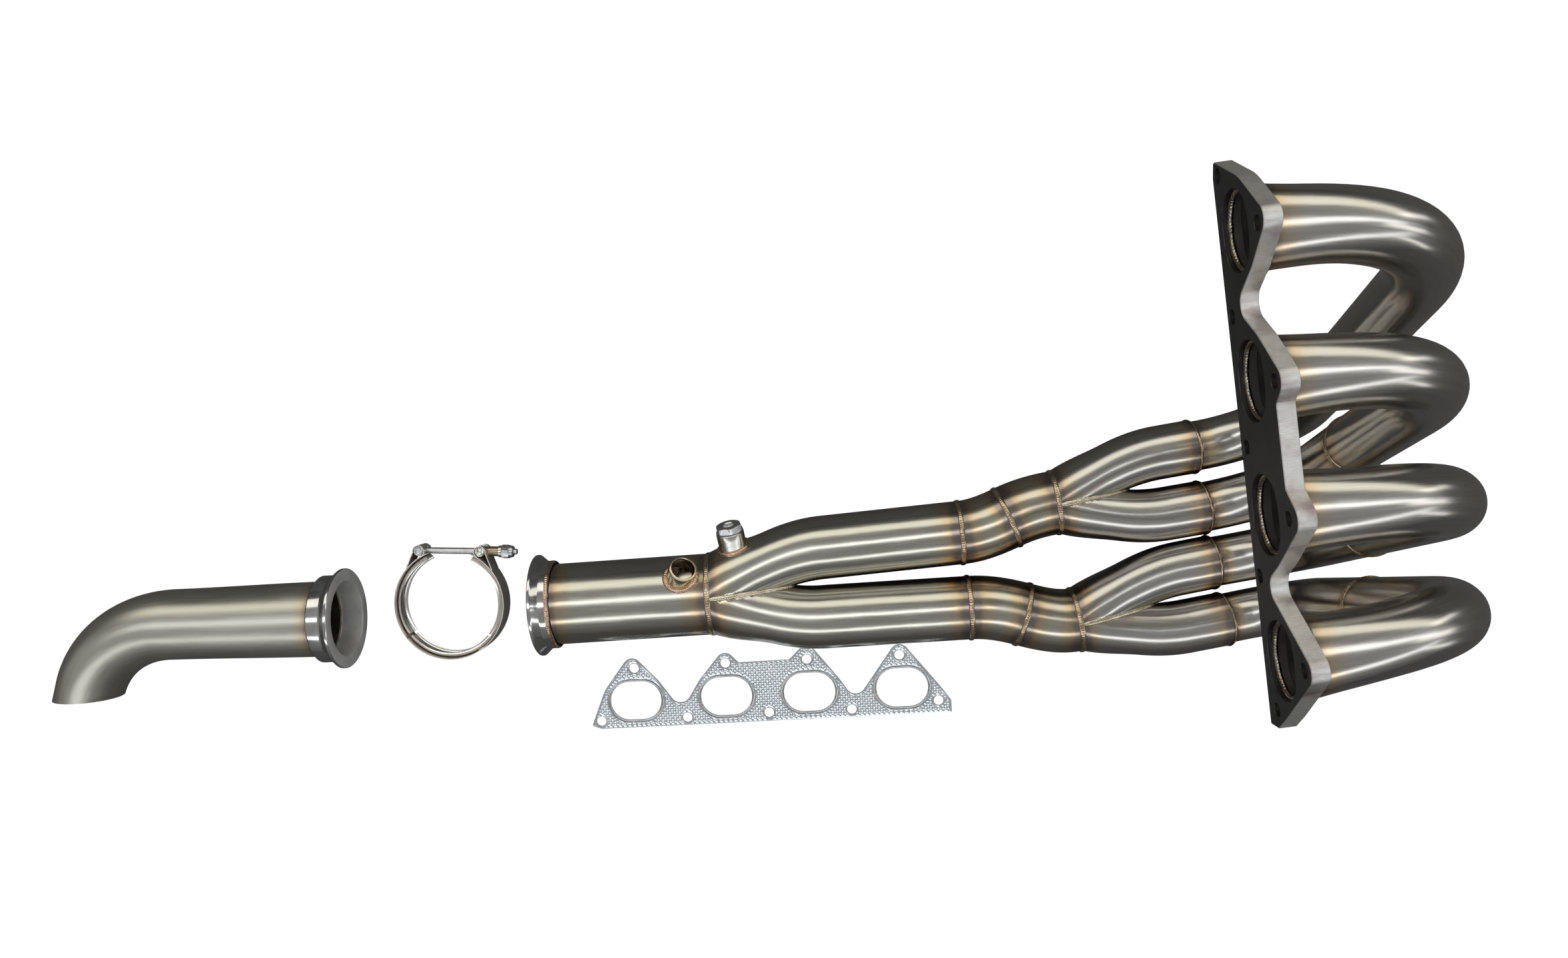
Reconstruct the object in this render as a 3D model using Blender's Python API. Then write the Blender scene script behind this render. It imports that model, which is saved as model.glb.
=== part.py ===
"""Four-into-one stainless racing header kit, laid out on a flat surface.

The kit is a 4-2-1 header with its cylinder head flange, a turned-down tail tip, a V-band
clamp and a head gasket. Metres, +Z up, the header's collector along -X.
Every tube is a hollow solid, and welded neighbours keep a small joint gap.
"""

import math

import bmesh
import bpy
from mathutils import Matrix, Vector

MM = 0.001
JOINT_GAP = 0.3 * MM  # left between two pieces that are welded or rest on each other

# Tubes
WALL = 1.6 * MM
PRIMARY_R = 44.45 / 2 * MM
SLIP_LEG_R = 48.3 / 2 * MM
SECONDARY_R = 57.15 / 2 * MM
COLLECTOR_R = 73.0 / 2 * MM
TUBE_SIDES = 16
BEND_STEP = math.radians(16)  # turn between two sections of a bent tube

# Collector axis, which the tip shares
AXIS_Y = -76.0 * MM
AXIS_Z = 45.75 * MM

# V-band flanges
VBAND_BORE_R = 34.6 * MM
VBAND_RIM_R = 45.75 * MM
VBAND_LIP_R = 44.9 * MM
VBAND_HUB_R = 39.8 * MM
COLLECTOR_HUB = 14.0 * MM  # length of the collector's flange
TIP_HUB = 21.0 * MM  # length of the tip's flange
VBAND_SIDES = 32
COLLECTOR_SIDES = 28
COLLECTOR_FACE_X = -113.0 * MM
COLLECTOR_WELD_X = 44.6 * MM

# Turned-down tail tip, in its own frame: mating face at x = 0, pipe along -X
TIP_FACE_X = -293.0 * MM
TIP_CLOCK = math.radians(13.2)  # lays the turned-down end on the ground
TIP_YAW = math.radians(-1.7)  # it lies a little askew
TIP_RADII = (34.5 * MM, 32.6 * MM, 29.4 * MM)  # at the flange, at the bend, at the outlet
TIP_STRAIGHT = 164.0 * MM
TIP_FIRST = 70.0 * MM  # to the pipe's second section
TIP_BEND_R = 104.0 * MM
TIP_TURN = math.radians(66)
TIP_CUT = 68.8 * MM  # from the axis to the mouth, which is cut upright

# Cylinder head flange and gasket share one pattern: u along the ports, v up from the edge
PORT_U = (-125.7 * MM, -39.3 * MM, 39.3 * MM, 126.2 * MM)
PORT_V = 25.6 * MM
PORT_HALF = (24.15 * MM, 18.25 * MM)
FIRE_RING_HALF = (26.1 * MM, 20.1 * MM)
STUDS = [
    (-125.6 * MM, 56.5 * MM), (-38.6 * MM, 57.1 * MM),
    (38.4 * MM, 56.8 * MM), (125.2 * MM, 56.4 * MM),
    (-160.2 * MM, 7.4 * MM), (-77.7 * MM, 7.2 * MM), (0.0, 8.0 * MM),
    (78.0 * MM, 7.2 * MM), (159.4 * MM, 11.6 * MM),
]
STUD_HOLE_R = 4.5 * MM
OUTLINE = [  # u, v, corner radius
    (-160.0, 0.0, 2.0), (-169.5, 3.2, 2.0), (-155.0, 37.0, 40.0), (-128.0, 70.8, 9.0),
    (-103.0, 43.3, 30.0), (-83.0, 13.7, 10.0), (-64.5, 41.8, 30.0), (-38.9, 71.0, 9.0),
    (-26.0, 56.9, 3.0), (22.0, 57.4, 3.0), (39.6, 73.9, 9.0), (68.0, 36.7, 30.0),
    (82.1, 14.5, 9.5), (125.3, 72.1, 9.0), (161.0, 26.0, 30.0), (171.2, 11.5, 3.0),
    (171.2, 0.0, 1.0),
]
FLANGE_THICK = 11.0 * MM
FLANGE_ORIGIN = (413.5 * MM, 37.7 * MM, 373.1 * MM)  # middle of its lower edge, port side
FLANGE_YAW = math.radians(3.46)
FLANGE_LEAN = math.radians(3.11)
FLANGE_ROLL = math.radians(1.18)

GASKET_ORIGIN = (84.5 * MM, -206.3 * MM, 0.0)
GASKET_TURN = math.radians(-0.66)
GASKET_Z = (0.4 * MM, 1.6 * MM)
FIRE_RING_THICK = 2.0 * MM

# Primary runners: top corner, bottom corner and slip joint of each centre line
LOW_CORNER_Z = 14.2 * MM
LEG_END_Z = 24.6 * MM
RUNNERS = [
    ((547.5, 162.7, 393.0), (565.0, 33.5), (480.9, 24.1)),
    ((550.3, 81.1, 391.6), (562.5, -23.0), (487.1, -30.8)),
    ((559.0, 3.2, 389.7), (572.0, -73.5), (492.7, -80.5)),
    ((561.5, -70.4, 388.1), (568.5, -124.0), (501.3, -132.5)),
]
TOP_BEND_R = 112.0 * MM
LOW_BEND_R = (66.0 * MM, 66.0 * MM, 66.0 * MM, 57.0 * MM)
RUNNER_WELD_Z = (150.0 * MM, 188.0 * MM, 184.0 * MM, 184.0 * MM)
PORT_TRANSITION = 30.0 * MM  # the runner's mouth turns from oval to round along this
PORT_MOUTH = (25.2 * MM, 19.4 * MM)

# Merges: ring centre, yaw of the plane between the legs, and leg offset and length
SECOND_MERGE_LENGTH = 104.0 * MM
SECOND_MERGE_OFFSET = 31.4 * MM
SECOND_MERGE_YAW = math.radians(1.75)
FIRST_MERGE_LENGTH = 98.0 * MM
FIRST_MERGES = [
    ((357.3 * MM, -16.7 * MM, 30.6 * MM), math.radians(5.5)),
    ((369.9 * MM, -123.5 * MM, 30.0 * MM), math.radians(7.0)),
]
SECONDARY_ENDS = [  # end of each secondary, and the mitre of the two bends after it
    ((271.2 * MM, -37.3 * MM, 34.6 * MM), (314.0 * MM, -26.8 * MM, 32.6 * MM)),
    ((274.9 * MM, -105.6 * MM, 34.5 * MM), (322.5 * MM, -115.1 * MM, 32.2 * MM)),
]
SECONDARY_YAWS = [(math.radians(2), math.radians(22)), (math.radians(0), math.radians(-19))]

# Sensor bungs on the collector and on the upper secondary leg
BUNG_R = 12.4 * MM
BUNG_BORE_R = 9.6 * MM
BUNG_HEIGHT = 14.0 * MM
BUNG_DEPTH = 5.5 * MM  # below the tube's surface, on the bung's axis
BUNG_BEVEL = 0.8 * MM
BUNG_SIDES = 18
SENSOR_BUNG = ((9.6 * MM, -76.0 * MM, 45.75 * MM), 38.6 * MM)  # foot, and way to the surface
SENSOR_BUNG_TILT = (math.radians(36), math.radians(19))  # from straight up: to +Y, then to +X
SPARE_BUNG = ((71.6 * MM, -63.5 * MM, 44.6 * MM), 32.6 * MM)
SPARE_BUNG_TILT = (math.radians(72), math.radians(-6))
PLUG_HEAD = (12.0 * MM, 6.0 * MM)  # radius, thickness
PLUG_BEVEL = 1.5 * MM
PLUG_STEM = 10.0 * MM

# V-band clamp, in its own frame: ring about Z, opening towards +Y
CLAMP_ORIGIN = (-205.6 * MM, -73.0 * MM, 11.3 * MM)
CLAMP_TURN = math.radians(-4.7)
RETAINER_SECTION = [  # radius, height
    (50.7, -3.4), (50.7, 3.4), (46.6, 8.0), (45.6, 7.3),
    (49.3, 2.9), (49.3, -2.9), (45.6, -7.3), (46.6, -8.0),
]
BAND_R = (51.3 * MM, 52.1 * MM)
BAND_HALF = 11.0 * MM
HINGE_ANGLE = math.radians(128)  # from the opening to each gap between retainers
STRAP_END = math.radians(20)  # from the opening to the free ends of the strap
RETAINER_END = math.radians(26)  # the retainers stop short of the bolt
HINGE_GAP = math.radians(1.6)
ARC_STEPS = 10
LOOP_ANGLE = math.radians(30.5)
LOOP_CENTRE_R = 57.3 * MM
LOOP_R = (4.95 * MM, 5.8 * MM)
LOOP_HALF = 10.0 * MM  # half of a loop's height
LOOP_SIDES = 20
TAIL_LEAVES = math.radians(62)  # where the strap's end leaves a loop, past the loop's angle
TAIL_LANDS = math.radians(50)  # where it lands on the strap, from the opening
BARREL_R = 4.6 * MM
BARREL_SIDES = 16
BOLT_SIDES = 14
BARREL_HALF = 9.5 * MM
BOLT_R = 2.95 * MM
BOLT_BORE_R = 3.35 * MM
SLEEVE_R = 4.4 * MM
SLOT_CLEAR = 1.6 * MM
SLOT_LENGTH = 26.0 * MM
SLEEVE_END = 15.6 * MM  # from the right-hand loop, along the bolt
WASHER_R = 5.6 * MM
WASHER_THICK = 3.0 * MM
NUT_FLAT_R = 6.0 * MM
NUT_LENGTH = 11.0 * MM
BOLT_END = 33.4 * MM


def material(name, colour, metallic, roughness):
    made = bpy.data.materials.new(name)
    made.use_nodes = True
    shader = made.node_tree.nodes["Principled BSDF"]
    shader.inputs["Base Color"].default_value = (*colour, 1.0)
    shader.inputs["Metallic"].default_value = metallic
    shader.inputs["Roughness"].default_value = roughness
    made.diffuse_color = (*colour, 1.0)
    return made


def empty(name, location, rotation=None):
    made = bpy.data.objects.new(name, None)
    made.location = location
    if rotation is not None:
        made.rotation_euler = rotation.to_euler()
    bpy.context.collection.objects.link(made)
    return made


def add(name, mesh, finish, parent=None, pivot=(0, 0, 0)):
    """Links a mesh as an object whose origin is at pivot, given in the parent's frame."""
    made = bpy.data.objects.new(name, mesh)
    mesh.transform(Matrix.Translation(-Vector(pivot)))
    made.location = pivot
    made.parent = parent
    mesh.materials.append(finish)
    mesh.shade_smooth()
    mesh.set_sharp_from_angle(angle=math.radians(42))
    bpy.context.collection.objects.link(made)
    return made


def skin(rings, capped):
    """A closed mesh through rings of points: capped at both ends, or joined end to start."""
    count = len(rings[0])
    points = [point for ring in rings for point in ring]
    pairs = len(rings) - 1 if capped else len(rings)
    faces = []
    for i in range(pairs):
        a, b = i * count, (i + 1) % len(rings) * count
        for j in range(count):
            k = (j + 1) % count
            faces.append((a + j, a + k, b + k, b + j))
    if capped:
        faces.append(tuple(reversed(range(count))))
        faces.append(tuple(range(len(points) - count, len(points))))
    mesh = bpy.data.meshes.new("skin")
    mesh.from_pydata(points, [], faces)
    work = bmesh.new()
    work.from_mesh(mesh)
    bmesh.ops.recalc_face_normals(work, faces=work.faces)
    work.to_mesh(mesh)
    work.free()
    return mesh


def round_corners(corners, step, closed=False):
    """Points of a line whose corners (point, radius) are rounded, in 2D or 3D."""
    points = []
    count = len(corners)
    for i, (corner, radius) in enumerate(corners):
        if not closed and i in (0, count - 1):
            points.append(corner)
            continue
        back = (corners[i - 1][0] - corner).normalized()
        ahead = (corners[(i + 1) % count][0] - corner).normalized()
        turn = math.pi - back.angle(ahead)
        centre = corner + (back + ahead).normalized() * radius / math.cos(turn / 2)
        start = corner + back * radius * math.tan(turn / 2) - centre
        steps = max(1, math.ceil(turn / step))
        for j in range(steps + 1):
            angle = turn * j / steps
            points.append(centre + start * math.cos(angle) - back * radius * math.sin(angle))
    return points


def tangents_of(points):
    """Direction of the line at each point, along the bisector at inner points."""
    runs = [(b - a).normalized() for a, b in zip(points, points[1:])]
    inner = [(a + b).normalized() for a, b in zip(runs, runs[1:])]
    return [runs[0], *inner, runs[-1]]


def section(centre, side, up, half_side, half_up, sides=TUBE_SIDES):
    angles = [2 * math.pi * (i + 0.5) / sides for i in range(sides)]
    return [
        centre + side * half_side * math.cos(a) + up * half_up * math.sin(a) for a in angles
    ]


def pipe(points, radii, up, wall=WALL, directions=None):
    """Outer and inner sections of a pipe along points. radii holds (side, up) half sizes."""
    directions = directions or tangents_of(points)
    outer, inner = [], []
    up = (up - directions[0] * up.dot(directions[0])).normalized()
    for i, (point, direction) in enumerate(zip(points, directions)):
        if i:
            up = directions[i - 1].rotation_difference(direction) @ up
        side = up.cross(direction).normalized()
        half_side, half_up = radii[i]
        outer.append(section(point, side, up, half_side, half_up))
        inner.append(section(point, side, up, half_side - wall, half_up - wall))
    return outer, inner


def hollow(outer, inner):
    return skin(outer + inner[::-1], capped=False)


def trimmed(points, start_gap=JOINT_GAP / 2, end_gap=JOINT_GAP / 2):
    """The same line, shortened a little at each end to leave the joint gaps."""
    points = list(points)
    points[0] = points[0] + (points[1] - points[0]).normalized() * start_gap
    points[-1] = points[-1] + (points[-2] - points[-1]).normalized() * end_gap
    return points


def turned(profile, sides, axis="X", closed=True):
    """A turned solid about the X or Z axis, from (along, radius) points of its section."""
    rings = []
    for along, radius in profile:
        ring = []
        for i in range(sides):
            angle = 2 * math.pi * i / sides
            a, b = radius * math.cos(angle), radius * math.sin(angle)
            ring.append(Vector((along, a, b)) if axis == "X" else Vector((a, b, along)))
        rings.append(ring)
    return skin(rings, capped=not closed)


def vband_profile(length):
    """(distance from the mating face, radius) of a V-band flange's section."""
    return [
        (0.0, VBAND_BORE_R), (0.0, VBAND_LIP_R), (0.8 * MM, VBAND_RIM_R), (2.6 * MM, VBAND_RIM_R),
        (3.6 * MM, VBAND_LIP_R), (8.5 * MM, VBAND_HUB_R + 0.6 * MM), (10.5 * MM, VBAND_HUB_R),
        (length, VBAND_HUB_R), (length, VBAND_BORE_R),
    ]


def stadium(centre, half, steps=7):
    """Outline of an oval with straight sides: half holds its half length and half height."""
    reach = half[0] - half[1]
    points = []
    for sign in (1, -1):
        for i in range(steps + 1):
            angle = math.pi * i / steps - math.pi / 2
            x = reach + half[1] * math.cos(angle)
            points.append(Vector((centre[0] + sign * x, centre[1] + sign * half[1] * math.sin(angle))))
    return points


def circle(centre, radius, sides):
    turns = [2 * math.pi * i / sides for i in range(sides)]
    return [Vector((centre[0] + radius * math.cos(t), centre[1] + radius * math.sin(t))) for t in turns]


def plate(loops, low, high):
    """A flat plate between two heights: the first loop is its outline, the rest are holes."""
    work = bmesh.new()
    edges = []
    for loop in loops:
        corners = [work.verts.new((point.x, point.y, low)) for point in loop]
        edges += [work.edges.new(pair) for pair in zip(corners, corners[1:] + corners[:1])]
    filled = bmesh.ops.triangle_fill(work, use_beauty=True, edges=edges)
    faces = [item for item in filled["geom"] if isinstance(item, bmesh.types.BMFace)]
    raised = bmesh.ops.extrude_face_region(work, geom=faces, use_keep_orig=True)
    tops = [item for item in raised["geom"] if isinstance(item, bmesh.types.BMVert)]
    bmesh.ops.translate(work, verts=tops, vec=(0, 0, high - low))
    bmesh.ops.recalc_face_normals(work, faces=work.faces)
    mesh = bpy.data.meshes.new("plate")
    work.to_mesh(mesh)
    work.free()
    return mesh


def boolean(target, operation, mesh, parent=None):
    """Joins or cuts the target with a mesh that is given in the parent's frame."""
    helper = bpy.data.objects.new(target.name + "_" + operation.lower(), mesh)
    helper.parent = parent
    helper.hide_render = True
    helper.display_type = "WIRE"
    bpy.context.collection.objects.link(helper)
    modifier = target.modifiers.new(operation.title(), "BOOLEAN")
    modifier.operation = operation
    modifier.solver = "EXACT"
    modifier.object = helper


def block(size, centre, rotation=None):
    """A box mesh of the given size at a centre."""
    work = bmesh.new()
    bmesh.ops.create_cube(work, size=1.0)
    matrix = Matrix.Translation(centre) @ (rotation or Matrix()) @ Matrix.Diagonal((*size, 1.0))
    bmesh.ops.transform(work, matrix=matrix, verts=work.verts)
    mesh = bpy.data.meshes.new("block")
    work.to_mesh(mesh)
    work.free()
    return mesh


def rod(start, end, radius, sides):
    """A solid round bar between two points."""
    direction = (end - start).normalized()
    side = direction.orthogonal().normalized()
    up = direction.cross(side)
    rings = [section(point, side, up, radius, radius, sides) for point in (start, end)]
    return skin(rings, capped=True)


def pattern_loops(port_half):
    """Outline, ports and stud holes that the head flange and the gasket share."""
    corners = [(Vector((u * MM, v * MM)), radius * MM) for u, v, radius in OUTLINE]
    outline = round_corners(corners, math.radians(24), closed=True)
    ports = [stadium((u, PORT_V), port_half) for u in PORT_U]
    holes = [circle(stud, STUD_HOLE_R, 10) for stud in STUDS]
    return [outline, *ports, *holes]


def flange_matrix():
    """Head flange frame: x along the ports, y up, z out of the face that meets the head."""
    upright = Matrix(((0, 0, -1), (-1, 0, 0), (0, 1, 0))).to_4x4()
    turn = (
        Matrix.Rotation(FLANGE_YAW, 4, "Z")
        @ Matrix.Rotation(FLANGE_LEAN, 4, "Y")
        @ Matrix.Rotation(FLANGE_ROLL, 4, "X")
    )
    return Matrix.Translation(FLANGE_ORIGIN) @ turn @ upright


def make_head_flange(finish):
    frame = flange_matrix()
    holder = empty("head_flange_frame", frame.to_translation(), frame)
    add("head_flange", plate(pattern_loops(PORT_HALF), -FLANGE_THICK, 0.0), finish, holder)


def runner_points(i):
    """Top corner, bottom corner and slip joint of a runner's centre line."""
    top, low, end = (Vector((*point, 0)[:3]) * MM for point in RUNNERS[i])
    low.z = LOW_CORNER_Z
    end.z = LEG_END_Z
    return top, low, end


def make_runners(finish):
    """Each primary: an upper bend from the head flange, then a lower bend to the slip joint."""
    frame = flange_matrix()
    for i in range(len(RUNNERS)):
        port = frame @ Vector((PORT_U[i], PORT_V, -FLANGE_THICK - JOINT_GAP))
        top, low, end = runner_points(i)
        weld = top.lerp(low, (top.z - RUNNER_WELD_Z[i]) / (top.z - low.z))
        along = (top - port).normalized()
        bend = round_corners([(port, 0), (top, TOP_BEND_R), (weld, 0)], BEND_STEP)
        oval_end = port + along * min(PORT_TRANSITION, (bend[1] - port).length * 0.9)
        upper = trimmed([port, port.lerp(oval_end, 0.5), oval_end, *bend[1:]], 0.0)
        middle = [(a + b) / 2 for a, b in zip(PORT_MOUTH, (PRIMARY_R, PRIMARY_R))]
        radii = [PORT_MOUTH, middle] + [(PRIMARY_R, PRIMARY_R)] * (len(upper) - 2)
        directions = tangents_of(upper)
        directions[0] = frame.to_3x3() @ Vector((0, 0, -1))
        up = frame.to_3x3() @ Vector((0, 1, 0))
        mesh = hollow(*pipe(upper, radii, up, directions=directions))
        add(f"runner_{i + 1}_upper_bend", mesh, finish)
        lower = trimmed(round_corners([(weld, 0), (low, LOW_BEND_R[i]), (end, 0)], BEND_STEP))
        radii = [(PRIMARY_R, PRIMARY_R)] * len(lower)
        add(f"runner_{i + 1}_lower_bend", hollow(*pipe(lower, radii, Vector((1, 0, 0)))), finish)


def level(yaw):
    return Vector((math.cos(yaw), math.sin(yaw), 0))


def merge_leg(ring, yaw, sign, ring_r, leg_r, offset, length, end, end_direction):
    """One of two tubes that leave a round ring side by side, flattened where they meet.

    ring holds its centre, its yaw and the height of the leg's far end. The leg's centre
    moves away from the ring's axis along a quarter sine as its radius falls from the
    ring's to the tube's, and then the leg runs straight to its end.
    """
    centre, ring_yaw, end_z = ring
    ahead = level(yaw)
    away = level(yaw + math.pi / 2) * sign
    steps = 7
    points, directions, radii = [], [], []
    for i in range(steps + 1):
        part = i / steps
        shrink = min(1.0, part * 2)
        shrink = shrink * shrink * (3 - 2 * shrink)
        radius = ring_r + (leg_r - ring_r) * shrink
        point = centre + ahead * length * part + away * offset * math.sin(math.pi / 2 * part)
        point.z = centre.z + (end_z - centre.z) * part
        points.append(point)
        radii.append((radius, radius))
        directions.append(ahead)
    points.append(end)
    radii.append((leg_r, leg_r))
    directions.append(end_direction)
    directions[0] = level(ring_yaw)
    points[0] = points[0] + directions[0] * JOINT_GAP / 2
    points[-1] = points[-1] - directions[-1] * JOINT_GAP / 2
    outer, inner = pipe(points, radii, Vector((0, 0, 1)), directions=directions)
    for rings, clearance in ((outer, JOINT_GAP / 2), (inner, JOINT_GAP / 2 + WALL)):
        for ring_points in rings[: steps + 1]:
            for point in ring_points:
                short = clearance - (point - centre).dot(away)
                if short > 0:
                    point += away * short
    return hollow(outer, inner)


def make_first_merges(finish):
    """Slip legs that take the primaries in pairs into two rings."""
    for i, (centre, ring_yaw) in enumerate(FIRST_MERGES):
        centre = Vector(centre)
        ends = [runner_points(2 * i + j)[2] for j in (0, 1)]
        middle = (ends[0] + ends[1]) / 2
        yaw = math.atan2(middle.y - centre.y, middle.x - centre.x)
        away = level(yaw + math.pi / 2)
        for j, sign in ((0, 1), (1, -1)):
            end = ends[j]
            outward = (runner_points(2 * i + j)[1] - end).normalized()
            offset = (end - middle).dot(away) * sign
            mesh = merge_leg(
                (centre, ring_yaw, LEG_END_Z), yaw, sign, SECONDARY_R, SLIP_LEG_R,
                offset, FIRST_MERGE_LENGTH, end, outward,
            )
            add(f"merge_leg_{2 * i + j + 1}", mesh, finish)


def hermite(start, start_yaw, end, end_yaw, steps=4, pull=1.0):
    """A smooth level curve between two points that leaves and arrives at given yaws."""
    span = (end - start).length * pull
    out, into = level(start_yaw) * span, level(end_yaw) * span
    points = []
    for i in range(steps + 1):
        t = i / steps
        points.append(
            start * (2 * t**3 - 3 * t**2 + 1) + out * (t**3 - 2 * t**2 + t)
            + end * (3 * t**2 - 2 * t**3) + into * (t**3 - t**2)
        )
    return points


def make_secondaries(finish):
    """Each secondary leaves the collector ring, runs back, and steps out through two bends."""
    collector_ring = Vector((COLLECTOR_WELD_X, AXIS_Y, AXIS_Z))
    for i, name in enumerate(("secondary_12", "secondary_34")):
        sign = 1 - 2 * i
        end, mitre = (Vector(point) for point in SECONDARY_ENDS[i])
        end_yaw, mitre_yaw = SECONDARY_YAWS[i]
        ring, ring_yaw = Vector(FIRST_MERGES[i][0]), FIRST_MERGES[i][1]
        leg_z = AXIS_Z + (end.z - AXIS_Z) * SECOND_MERGE_LENGTH / (end.x - COLLECTOR_WELD_X)
        mesh = merge_leg(
            (collector_ring, 0.0, leg_z), SECOND_MERGE_YAW, sign, COLLECTOR_R, SECONDARY_R,
            SECOND_MERGE_OFFSET, SECOND_MERGE_LENGTH, end, level(end_yaw),
        )
        add(f"{name}_tube", mesh, finish)
        bends = (
            ("rear", (end, end_yaw, mitre, mitre_yaw)),
            ("front", (mitre, mitre_yaw, ring, ring_yaw)),
        )
        for place, ends in bends:
            line = trimmed(hermite(*ends))
            directions = tangents_of(line)
            directions[0], directions[-1] = level(ends[1]), level(ends[3])
            radii = [(SECONDARY_R, SECONDARY_R)] * len(line)
            mesh = hollow(*pipe(line, radii, Vector((0, 0, 1)), directions=directions))
            add(f"{name}_bend_{place}", mesh, finish)


def bung_axis(tilt):
    to_y, to_x = tilt
    return Vector((math.sin(to_x), math.cos(to_x) * math.sin(to_y), math.cos(to_x) * math.cos(to_y)))


def turned_on(foot, axis, profile, closed):
    """A turned solid along an axis from foot, from (along, radius) points of its section."""
    side = axis.orthogonal().normalized()
    up = axis.cross(side)
    rings = [section(foot + axis * a, side, up, r, r, BUNG_SIDES) for a, r in profile]
    return skin(rings, capped=not closed)


def bung(name, host, place, tilt, finish):
    """A bung set through the wall of its host, and the hole in the host for it."""
    foot, surface, axis = Vector(place[0]), place[1], bung_axis(tilt)
    low, high = surface - BUNG_DEPTH, surface + BUNG_HEIGHT
    profile = [
        (low, BUNG_R), (high - BUNG_BEVEL, BUNG_R), (high, BUNG_R - BUNG_BEVEL),
        (high, BUNG_BORE_R), (low, BUNG_BORE_R),
    ]
    add(name, turned_on(foot, axis, profile, closed=True), finish)
    hole_r = BUNG_R + JOINT_GAP
    hole = [(surface / 2, hole_r), (high + BUNG_HEIGHT, hole_r)]
    boolean(host, "DIFFERENCE", turned_on(foot, axis, hole, closed=False))


def bung_plug(name, place, tilt, finish):
    """A plug screwed into a bung, with a round bevelled head."""
    seat = place[1] + BUNG_HEIGHT + JOINT_GAP
    stem_r = BUNG_BORE_R - JOINT_GAP
    head_r, head = PLUG_HEAD
    profile = [
        (seat - PLUG_STEM, stem_r), (seat, stem_r), (seat, head_r),
        (seat + head - PLUG_BEVEL, head_r), (seat + head, head_r - PLUG_BEVEL),
    ]
    add(name, turned_on(Vector(place[0]), bung_axis(tilt), profile, closed=False), finish)


def make_collector(tube_finish, machined, fastener):
    face = Vector((COLLECTOR_FACE_X, AXIS_Y, AXIS_Z))
    flange = turned(vband_profile(COLLECTOR_HUB), VBAND_SIDES)
    add("collector_vband_flange", flange, machined).location = face

    start = face.x + COLLECTOR_HUB + JOINT_GAP
    end = COLLECTOR_WELD_X - JOINT_GAP / 2
    walls = [
        (start, COLLECTOR_R), (end, COLLECTOR_R),
        (end, COLLECTOR_R - WALL), (start, COLLECTOR_R - WALL),
    ]
    mesh = turned(walls, COLLECTOR_SIDES)
    mesh.transform(Matrix.Translation((0, AXIS_Y, AXIS_Z)))
    tube = add("collector_tube", mesh, tube_finish)
    bung("sensor_bung", tube, SENSOR_BUNG, SENSOR_BUNG_TILT, machined)
    leg = bpy.data.objects["secondary_12_tube"]
    bung("spare_bung", leg, SPARE_BUNG, SPARE_BUNG_TILT, machined)
    bung_plug("spare_bung_plug", SPARE_BUNG, SPARE_BUNG_TILT, fastener)


def make_tip(tube_finish, machined):
    """The tail tip: a V-band flange and a pipe that turns down to a cut mouth."""
    lie = Matrix.Rotation(TIP_YAW, 4, "Z") @ Matrix.Rotation(TIP_CLOCK, 4, "X")
    holder = empty("tip_axis", (TIP_FACE_X, AXIS_Y, AXIS_Z), lie)
    profile = [(-along, radius) for along, radius in vband_profile(TIP_HUB)]
    add("tip_vband_flange", turned(profile, VBAND_SIDES), machined, holder)

    start = -TIP_HUB - JOINT_GAP
    reach = TIP_BEND_R * math.tan(TIP_TURN / 2)
    corner = Vector((-TIP_STRAIGHT - reach, 0, 0))
    down = Vector((-math.cos(TIP_TURN), -math.sin(TIP_TURN), 0))
    line = [Vector((start, 0, 0)), Vector((start - TIP_FIRST, 0, 0))]
    bend = [(line[0], 0), (corner, TIP_BEND_R), (corner + down * (reach + MM), 0)]
    line += round_corners(bend, BEND_STEP)[1:-1]
    straight, middle, mouth = TIP_RADII
    tapered = 2  # the pipe narrows over this many sections before the bend
    radii = [(straight, straight)]
    for i in range(1, len(line)):
        if i <= tapered:
            radius = straight + (middle - straight) * i / tapered
        else:
            radius = middle + (mouth - middle) * (i - tapered) / (len(line) - 1 - tapered)
        radii.append((radius, radius))
    outer, inner = pipe(line, radii, Vector((0, 0, 1)))
    upright = Vector((0, -math.cos(TIP_CLOCK), math.sin(TIP_CLOCK)))
    for ring in (outer[-1], inner[-1]):
        for point in ring:
            point += down * (TIP_CUT - point.dot(upright)) / down.dot(upright)
    add("tip_pipe", hollow(outer, inner), tube_finish, holder)


def arc_sweep(profile, start, end):
    """A (radius, height) section swept about Z between two angles."""
    rings = []
    for i in range(ARC_STEPS + 1):
        angle = start + (end - start) * i / ARC_STEPS
        c, s = math.cos(angle), math.sin(angle)
        rings.append([Vector((radius * c, radius * s, height)) for radius, height in profile])
    return skin(rings, capped=True)


def around(radius, angle):
    return Vector((radius * math.cos(angle), radius * math.sin(angle), 0))


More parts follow.
